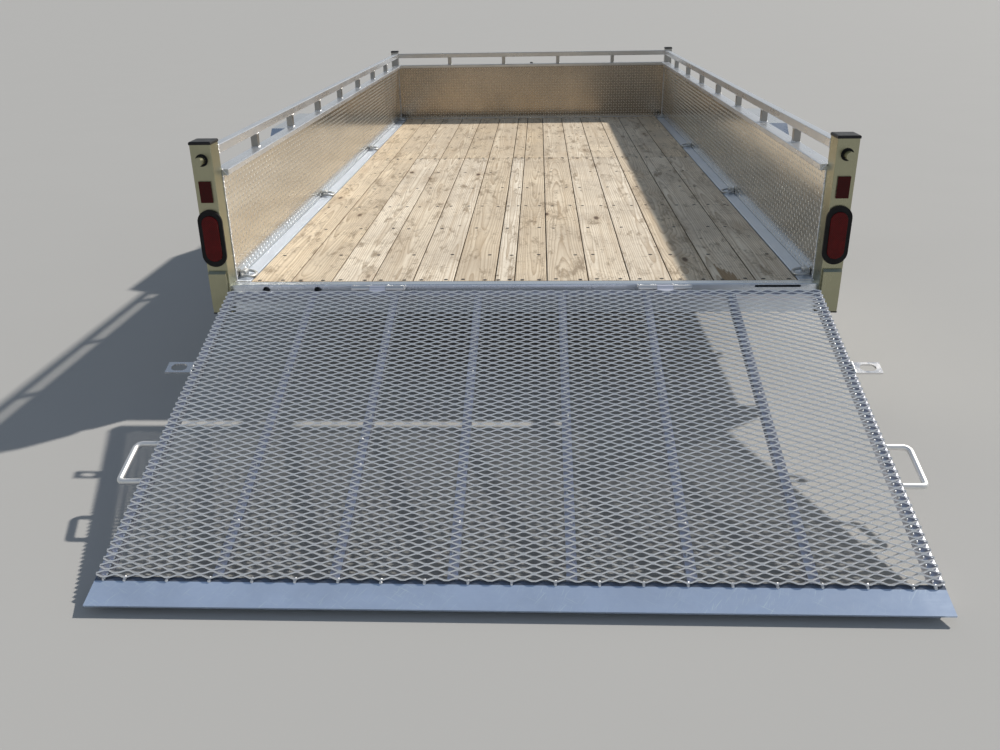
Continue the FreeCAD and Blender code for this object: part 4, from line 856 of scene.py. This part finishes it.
random.seed(3)
spots = []
for centre, width in columns:
    for row, y in enumerate(SCREW_ROWS):
        shares = (-PAIR_SHARE, PAIR_SHARE)
        if row not in END_ROWS:
            single = random.choice((-SINGLE_SHARE, SINGLE_SHARE))
            shares = shares if row in DOUBLE_ROWS else (single,)
        for share in shares:
            spots.append((centre + share * width + random.uniform(-4, 4) * MM,
                          ahead_of_posts(y + random.uniform(-7, 7)), PLANK_HIGH))
screws = grow("plank_screws", SCREWS, seed_mesh("screw_points", spots), Finish=SCREW)
piece("plank_screws", screws, "trailer", "black_paint")

# %% [markdown]
# ## The ramp's own directions
# The ramp lies at a slope, so its pieces are easier to build flat and then laid on
# it. Across is the trailer's own X, uphill is towards the hinge, and the third
# direction stands off the ramp. One matrix carries all three and the hinge's place.

# %% Ramp matrix
PIVOT = (0, ahead_of_posts(-16), 378 * MM)
SLOPE = math.radians(16.199)
uphill = (0, math.cos(SLOPE), math.sin(SLOPE))
off = (0, -math.sin(SLOPE), math.cos(SLOPE))
ON_RAMP = placing((1, 0, 0), uphill, off, PIVOT)
print("uphill", tuple(round(v, 3) for v in uphill))

# %% [markdown]
# ## Expanded mesh
# Expanded metal is slit and pulled, so each strand is one wavy line across the whole
# ramp that touches the strand above it, then the one below. At each meeting one
# strand rides high and the other low, which gives the mesh its bite. Drawing every
# strand as a line and sweeping a small bar along it gives the true pattern, and the
# lines can be cut exactly at the ramp's edges, as a shear does. Pulling also leans
# the strands over, so from below the ramp they look thin, while light that comes
# over the deck meets their broad sides and leaves the ground under the ramp dark.

# %% Strand lines
CELL_LONG, CELL_SHORT = 50.8 * MM, 23.4 * MM
STRAND_WIDTH, STRAND_THICK = 8.6 * MM, 3.1 * MM
STRAND_LEAN = math.radians(-44)
STRAND_SHARE = 3.4 * MM
BOND_HALF, STRAND_LIFT = 4.6 * MM, 0.6 * MM
MESH_HALF = 987 * MM
MESH_TOP_S, MESH_LOW_S = 29 * MM, 1224 * MM
MESH_MIDDLE = 12.0 * MM


def strand_points(row):
    """The turns of one strand, cut at the ramp's edges."""
    base = -MESH_LOW_S + row * CELL_SHORT / 2
    low, high = base + STRAND_SHARE / 2, base + (CELL_SHORT - STRAND_SHARE) / 2
    turns = []
    first = math.floor(-MESH_HALF / CELL_LONG) - 1
    for step in range(2 * first, -2 * first + 1):
        x = (step + row % 2) * CELL_LONG / 2
        level, lift = (low, STRAND_LIFT) if step % 2 == 0 else (high, -STRAND_LIFT)
        turns += [(x - BOND_HALF, level, lift), (x + BOND_HALF, level, lift)]
    cut = []
    for a, b in zip(turns, turns[1:]):
        inside_a, inside_b = abs(a[0]) <= MESH_HALF, abs(b[0]) <= MESH_HALF
        if inside_a:
            cut.append(a)
        if inside_a != inside_b:
            edge = MESH_HALF if max(a[0], b[0]) > MESH_HALF else -MESH_HALF
            part = (edge - a[0]) / (b[0] - a[0])
            cut.append(tuple(p + (q - p) * part for p, q in zip(a, b)))
    return [(x, t, MESH_MIDDLE + lift) for x, t, lift in cut]


points, lines = [], []
rows = int((MESH_LOW_S - MESH_TOP_S) / (CELL_SHORT / 2))
for row in range(rows):
    strand = strand_points(row)
    lines += [(len(points) + k, len(points) + k + 1) for k in range(len(strand) - 1)]
    points += strand
print("strands", rows, "points", len(points))

# %% Strand tree
STRANDS, given, ends = geometry_group(
    "Swept strands", Strand_Width=STRAND_WIDTH, Strand_Thickness=STRAND_THICK, Lean=STRAND_LEAN)
bar = put(STRANDS, "GeometryNodeCurvePrimitiveQuadrilateral", {
    "Width": given["Strand Width"], "Height": given["Strand Thickness"]})
outline = put(STRANDS, "GeometryNodeTransform", {0: bar, "Rotation": vector(z=given["Lean"])})
seal(STRANDS, given, ends, swept(STRANDS, given, outline))

mesh = grow("ramp_expanded_mesh", STRANDS, seed_mesh("strand_lines", points, lines), ON_RAMP, Finish=STRAND)
piece("ramp_expanded_mesh", mesh, "ramp", "mesh_aluminium", "ramp_mesh")

# %% [markdown]
# ## Lugs of the tread plate
# The walls are tread plate: polished sheet with small raised lugs that lean left and
# right in turn. There are thousands, so a lug is a stretched four-sided cone with its
# tip cut off. The tree sets one on each point of a grid and turns every other one.

# %% Lug tree
LUG_PITCH, LUG_LENGTH, LUG_WIDTH, LUG_HEIGHT = 19.1 * MM, 20 * MM, 4.8 * MM, 0.9 * MM
FRONT_LUG_HEIGHT = 1.3 * MM

LUGS, given, ends = geometry_group(
    "Tread lugs", Wall_Length=4.0, Wall_Height=0.36, Pitch=LUG_PITCH, Lug_Length=LUG_LENGTH,
    Lug_Width=LUG_WIDTH, Lug_Height=LUG_HEIGHT)
steps = [maths("FLOOR", given[label] / given["Pitch"]) for label in ("Wall Length", "Wall Height")]
sizes = [count * given["Pitch"] for count in steps]
grid = put(LUGS, "GeometryNodeMeshGrid", {
    "Size X": sizes[0], "Size Y": sizes[1], "Vertices X": steps[0] + 1.0, "Vertices Y": steps[1] + 1.0})
spot = axes(Wire(put(LUGS, "GeometryNodeInputPosition").outputs[0]))
column, row = (maths("ROUND", (from_middle + size * 0.5) / given["Pitch"])
               for from_middle, size in zip(spot, sizes))
odd = maths("MODULO", column + row, 2.0)
seal(LUGS, given, ends, on_points(
    LUGS, grid, cone(LUGS, 4, 0.4, 1.0), Rotation=vector(z=odd * (math.pi / 2) + math.pi / 4),
    Scale=vector(given["Lug Length"] * 0.5, given["Lug Width"] * 0.5, given["Lug Height"])))

# %% Lugs on the three walls
WALL_LOW, WALL_HIGH = 385 * MM, 745 * MM
WALL_INSIDE = 997 * MM
WALL_REAR, WALL_FRONT = ahead_of_posts(76), ahead_of_posts(4217)
LUG_MARGIN = 0.03
wall_long, wall_y, wall_z = WALL_FRONT - WALL_REAR, (WALL_REAR + WALL_FRONT) / 2, (WALL_LOW + WALL_HIGH) / 2
up_wall = (0, 0, 1)
for side, length, lug_height, finish, place in (
        ("left", wall_long, LUG_HEIGHT, LUG,
         placing((0, 1, 0), up_wall, (1, 0, 0), (-WALL_INSIDE, wall_y, wall_z))),
        ("right", wall_long, LUG_HEIGHT, LUG,
         placing((0, -1, 0), up_wall, (-1, 0, 0), (WALL_INSIDE, wall_y, wall_z))),
        ("front", 2 * WALL_INSIDE, FRONT_LUG_HEIGHT, FRONT_LUG,
         placing((1, 0, 0), up_wall, (0, -1, 0), (0, WALL_FRONT, wall_z)))):
    mesh = grow("tread_lugs_" + side, LUGS, seed_mesh("lug_seed", [ORIGIN]), place,
                Wall_Length=length - LUG_MARGIN, Wall_Height=WALL_HIGH - WALL_LOW,
                Lug_Height=lug_height, Finish=finish)
    piece("tread_lugs_" + side, mesh, "trailer", "tread_plate")

# %% [markdown]
# ## Weld beads
# Aluminium is welded with a filler rod, which leaves a row of overlapping ripples or
# a single bright dot. Both are small balls on points, so a line of points gives a
# seam and one point gives a tack. Python lays the points where the real trailer has
# them, and the tree sets a ball of slightly varying size on each.

# %% Bead tree
BEADS, given, ends = geometry_group("Weld beads", Bead_Radius=3 * MM, Variation=0.25, Random_Seed=1)
ball = put(BEADS, "GeometryNodeMeshIcoSphere", {"Radius": given["Bead Radius"], "Subdivisions": 2})
low, high = 1.0 - given["Variation"], given["Variation"] + 1.0
size = put(BEADS, "FunctionNodeRandomValue", {
    0: vector(low, low, low), 1: vector(high, high, high), "Seed": given["Random Seed"]},
    data_type="FLOAT_VECTOR")
seal(BEADS, given, ends, on_points(BEADS, given["Seed"], ball, Scale=size), smooth=True)


def seam(a, b, pitch):
    """Points from a to b in millimetres, a pitch apart, as metres."""
    a, b = Vector(a), Vector(b)
    steps = max(1, round((b - a).length / pitch))
    return [a.lerp(b, k / steps) * MM for k in range(steps + 1)]


def beads(name, points, radius, body, seed, place=None):
    """A piece with a bead on every point."""
    mesh = grow(name, BEADS, seed_mesh(name + "_points", points), place,
                Bead_Radius=radius * MM, Random_Seed=seed, Finish=WELD)
    return piece(name, mesh, body, "bright_aluminium")


# %% Beads on the spindles
# All lengths for the beads are in millimetres, and each bead has a radius.
FINE_BEAD, CORNER_BEAD, TACK_BEAD = 2.6, 3.2, 4.0
FINE_PITCH, HINGE_PITCH, CORNER_PITCH, FRONT_PITCH = 4, 3.5, 5, 7
SPINDLE_PITCH, SPINDLE_HALF = 527.125, 12.5
SPINDLE_FACE, SPINDLE_INNER, SPINDLE_OUTER, FACE_HALF = 999.5, 1000, 1024, 12
SIDE_SPINDLES, FRONT_SPINDLES = range(1, 8), (-609, -203, 203, 609)
FRONT_SPINDLE_REAR, FRONT_SPINDLE_FRONT = 4218, 4240
MID_RAIL_TOP, TOP_RAIL_UNDERSIDE = 768, 817


def at(x, y, z):
    """A place in millimetres, with y counted forward from the rear posts."""
    return x, ahead_of_posts(y) / MM, z


def seam_at(a, b, pitch):
    """A seam between two places that are counted from the rear posts."""
    return seam(at(*a), at(*b), pitch)


def on_both_sides(seams):
    """Seams given for the right side by start, end and pitch, and laid on the left and the right."""
    spots = []
    for sign in (-1, 1):
        for (x1, y1, z1), (x2, y2, z2), pitch in seams:
            spots += seam_at((sign * x1, y1, z1), (sign * x2, y2, z2), pitch)
    return spots


side_seams = []
for k in SIDE_SPINDLES:
    y = SPINDLE_PITCH * k
    for z in (MID_RAIL_TOP, TOP_RAIL_UNDERSIDE):
        side_seams += [((SPINDLE_INNER, y + dy, z), (SPINDLE_OUTER, y + dy, z), FINE_PITCH)
                       for dy in (-SPINDLE_HALF, SPINDLE_HALF)]
        side_seams += [((SPINDLE_FACE, y - FACE_HALF, z), (SPINDLE_FACE, y + FACE_HALF, z), FINE_PITCH)]
spots = on_both_sides(side_seams)
for x in FRONT_SPINDLES:
    for dx in (-SPINDLE_HALF, SPINDLE_HALF):
        for z in (MID_RAIL_TOP, TOP_RAIL_UNDERSIDE):
            spots += seam_at((x + dx, FRONT_SPINDLE_REAR, z), (x + dx, FRONT_SPINDLE_FRONT, z), FINE_PITCH)
beads("spindle_beads", spots, FINE_BEAD, "trailer", 2)

# %% Beads where walls and rails meet the posts
REAR_CORNER, FRONT_CORNER = (996, 76), (995, 4215)
DECK_SEAM, WALL_TOP_SEAM = 384, 745
MID_RAIL_END, TOP_RAIL_END = ((980, 76, 748), (996, 76, 766)), ((998, 77, 820), (998, 77, 847))

beads("post_beads", on_both_sides([
    ((*REAR_CORNER, DECK_SEAM), (*REAR_CORNER, WALL_TOP_SEAM), CORNER_PITCH),
    ((*FRONT_CORNER, DECK_SEAM), (*FRONT_CORNER, WALL_TOP_SEAM), FRONT_PITCH),
    (*MID_RAIL_END, CORNER_PITCH), (*TOP_RAIL_END, CORNER_PITCH)]), CORNER_BEAD, "trailer", 3)

# %% Beads on the sill and the hinges
SILL_FACE, HINGE_TOP = 17, 377
KNUCKLE_EDGES, KNUCKLE_LOW, KNUCKLE_HIGH = (396, 455, 513, 572), 368, 379
KNUCKLE_TOPS = ((397, 412), (440, 454), (514, 528), (556, 571))
SILL_CORNER = ((946, 57, 382), (994, 57, 382))

sill_seams = [((x, SILL_FACE, KNUCKLE_LOW), (x, SILL_FACE, KNUCKLE_HIGH), HINGE_PITCH) for x in KNUCKLE_EDGES]
sill_seams += [((low, SILL_FACE, HINGE_TOP), (high, SILL_FACE, HINGE_TOP), HINGE_PITCH)
               for low, high in KNUCKLE_TOPS]
sill_seams += [(*SILL_CORNER, CORNER_PITCH)]
beads("sill_beads", on_both_sides(sill_seams), FINE_BEAD, "trailer", 4)

# %% Dots where the mesh is tacked to the ramp
PLATE_TACKS = [-966, 964] + [-915.2 + 101.6 * k for k in range(19)]
PLATE_EDGE, PLATE_STEPS, PLATE_HEIGHT, PLATE_FALL = 1221, (0, 4, 8), 10.0, 6
SIDE_TUBE_X, SIDE_TACKS, SIDE_START, SIDE_PITCH = 962, 51, 40, 23.4
BRACKET_WELD = ((989, -411, 9), (989, -454, 9))
RAMP_BARS = (-696.1, -417.6, -139.2, 139.2, 417.6, 696.1)
BAR_TACKS, BAR_START, BAR_PITCH, BAR_SWAY = 12, 60, 98, 4
TACK_HEIGHT, TACK_SWAY = 8.5, 1.5


def tack(x, down, z=TACK_HEIGHT):
    """A place on the ramp in millimetres, counted down from the hinge, as metres."""
    return Vector((x, -down, z)) * MM


spots = [tack(x, PLATE_EDGE + step, PLATE_HEIGHT - step / PLATE_FALL)
         for x in PLATE_TACKS for step in PLATE_STEPS]
for sign in (-1, 1):
    spots += [tack(sign * (SIDE_TUBE_X + TACK_SWAY * (k % 2)), SIDE_START + SIDE_PITCH * k)
              for k in range(SIDE_TACKS)]
    spots += seam(*[(sign * x, y, z) for x, y, z in BRACKET_WELD], CORNER_PITCH)
spots += [tack(x + BAR_SWAY * (-1) ** k, BAR_START + BAR_PITCH * k)
          for x in RAMP_BARS for k in range(BAR_TACKS)]
beads("ramp_beads", spots, TACK_BEAD, "ramp", 5, ON_RAMP)

# %% [markdown]
# ## Tyres
# A road tyre is a ring with a bulging sidewall and a tread of blocks in ribs. The
# ring is a profile turned around the axle. The blocks repeat all the way round, so a
# tree sets them on points that carry their angle, and leans them left and right.

# %% Tyre ring
AXLE_Y, AXLE_Z, WHEEL_X = ahead_of_posts(1930), 305 * MM, 1178 * MM
TURN_STEPS = 72
# Each pair is the distance from the tyre's middle and the radius, in millimetres.
PROFILE = [(-66, 172), (-72, 178), (-76, 188), (-83, 204), (-88, 226), (-89, 244), (-87.5, 262), (-83, 280),
           (-77, 291), (-70, 296.5), (-40, 297.6), (0, 298)]
PROFILE += [(-x, r) for x, r in reversed(PROFILE[:-1])]


def turned(count, start=0.0):
    """Angles that share a full turn evenly."""
    return [2 * math.pi * k / count + start for k in range(count)]


def around_axle(x, radius, angle):
    """A point at a radius and an angle around the axle."""
    return x, AXLE_Y + radius * math.cos(angle), AXLE_Z + radius * math.sin(angle)


def turned_ring(profile, centre_x):
    """A closed ring: every profile point turned around the axle."""
    points = [around_axle(centre_x + x * MM, radius * MM, angle)
              for angle in turned(TURN_STEPS) for x, radius in profile]
    faces = []
    count = len(profile)
    for step in range(TURN_STEPS):
        following = (step + 1) % TURN_STEPS
        for k in range(count):
            j = (k + 1) % count
            faces.append((step * count + k, following * count + k, following * count + j, step * count + j))
    mesh = bpy.data.meshes.new("tyre_ring")
    mesh.from_pydata(points, [], faces)
    return mesh


# %% Tread tree
BLOCK_WIDTH, BLOCK_LENGTH, BLOCK_HEIGHT = 23 * MM, 26 * MM, 7.9 * MM

BLOCKS, given, ends = geometry_group(
    "Tread blocks", Block_Width=BLOCK_WIDTH, Block_Length=BLOCK_LENGTH, Block_Height=BLOCK_HEIGHT)
square = put(BLOCKS, "GeometryNodeTransform", {
    0: cone(BLOCKS, 4, 0.66, 0.72), "Rotation": (0, 0, math.pi / 4)})
angle, skew = (Wire(put(BLOCKS, "GeometryNodeInputNamedAttribute", {"Name": label},
                        data_type="FLOAT").outputs[0]) for label in ("angle", "skew"))
spread = on_points(
    BLOCKS, given["Seed"], square, Rotation=vector(angle),
    Scale=vector(given["Block Width"], given["Block Length"], given["Block Height"]))
leant = put(BLOCKS, "GeometryNodeRotateInstances", {
    "Instances": spread, "Rotation": vector(z=skew), "Local Space": True})
seal(BLOCKS, given, ends, leant)

# %% Two tyres
SIDES = (("left", -1), ("right", 1))
BLOCKS_AROUND = 60
BLOCK_SKEW = 0.22
CROWN_RADIUS, SHOULDER_RADIUS = 296.5 * MM, 295.5 * MM
RIBS = ((-56, SHOULDER_RADIUS), (-28, CROWN_RADIUS), (0, CROWN_RADIUS), (28, CROWN_RADIUS),
        (56, SHOULDER_RADIUS))
for side, sign in SIDES:
    ring = turned_ring(PROFILE, sign * WHEEL_X)
    ring.materials.append(TYRE)
    points, angles, skews = [], [], []
    for rib, (x, radius) in enumerate(RIBS):
        for angle in turned(BLOCKS_AROUND, math.pi * (rib % 2) / BLOCKS_AROUND):
            points.append(around_axle(sign * WHEEL_X + x * MM, radius, angle))
            angles.append(angle - math.pi / 2)
            skews.append(BLOCK_SKEW if rib % 2 else -BLOCK_SKEW)
    blocks = grow("tread", BLOCKS, seed_mesh("tread_points", points, angle=angles, skew=skews), Finish=TYRE)
    tyre = joined("tyre_%s_tread" % side, [ring, blocks])
    piece("tyre_%s_tread" % side, tyre, "wheel_" + side, "tyre_rubber", "tyre_" + side)

# %% [markdown]
# ## Nuts and bolts
# Five nuts hold each wheel, and three bolts hold the jack on its plate. A nut is a
# six-sided block with a chamfer, which a short cone gives in a few faces. One tree
# sets a nut on each point and turns it by a given angle, so the same nut stands
# upright on the jack's plate and sideways on a wheel. A washer lies under each.

# %% Nut tree
WHEEL_NUT_RADIUS, WHEEL_NUT_HEIGHT, JACK_NUT_SIZE = 11 * MM, 14 * MM, 9 * MM

NUTS, given, ends = geometry_group(
    "Nuts", Nut_Radius=WHEEL_NUT_RADIUS, Nut_Height=WHEEL_NUT_HEIGHT, Turn=ORIGIN)
radius, height = given["Nut Radius"], given["Nut Height"]
chamfer = cone(NUTS, 6, radius * 0.72, radius, height * 0.35)
raised = put(NUTS, "GeometryNodeTransform", {0: chamfer, "Translation": vector(z=height * 0.65)})
sides = disc(NUTS, 6, radius, height * 1.3)
washer = disc(NUTS, 16, radius * 1.25, height * 0.3)
seal(NUTS, given, ends, on_points(
    NUTS, given["Seed"], together(NUTS, (raised, sides, washer)), Rotation=given["Turn"]))

# %% Wheel nuts and jack bolts
NUT_CIRCLE, NUT_COUNT, DISC_FACE = 57 * MM, 5, 18 * MM
for side, sign in SIDES:
    points = [around_axle(sign * (WHEEL_X + DISC_FACE), NUT_CIRCLE, angle)
              for angle in turned(NUT_COUNT, math.pi / 2)]
    nuts = grow("wheel_nuts_" + side, NUTS, seed_mesh("nut_points", points),
                Turn=(0, sign * math.pi / 2, 0), Finish=ZINC)
    piece("wheel_nuts_" + side, nuts, "wheel_" + side, "galvanised_steel")

BOLT_CIRCLE, BOLT_COUNT = 47 * MM, 3
tube_low, tube_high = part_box("jack_tube")
plate_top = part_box("jack_plate")[1][2]
jack_x, jack_y = ((tube_low[k] + tube_high[k]) / 2 for k in (0, 1))
points = [(jack_x + BOLT_CIRCLE * math.cos(angle), jack_y + BOLT_CIRCLE * math.sin(angle), plate_top)
          for angle in turned(BOLT_COUNT, math.pi / 2)]
bolts = grow("jack_bolts", NUTS, seed_mesh("bolt_points", points),
             Nut_Radius=JACK_NUT_SIZE, Nut_Height=JACK_NUT_SIZE, Finish=ZINC)
piece("jack_bolts", bolts, "trailer", "galvanised_steel")
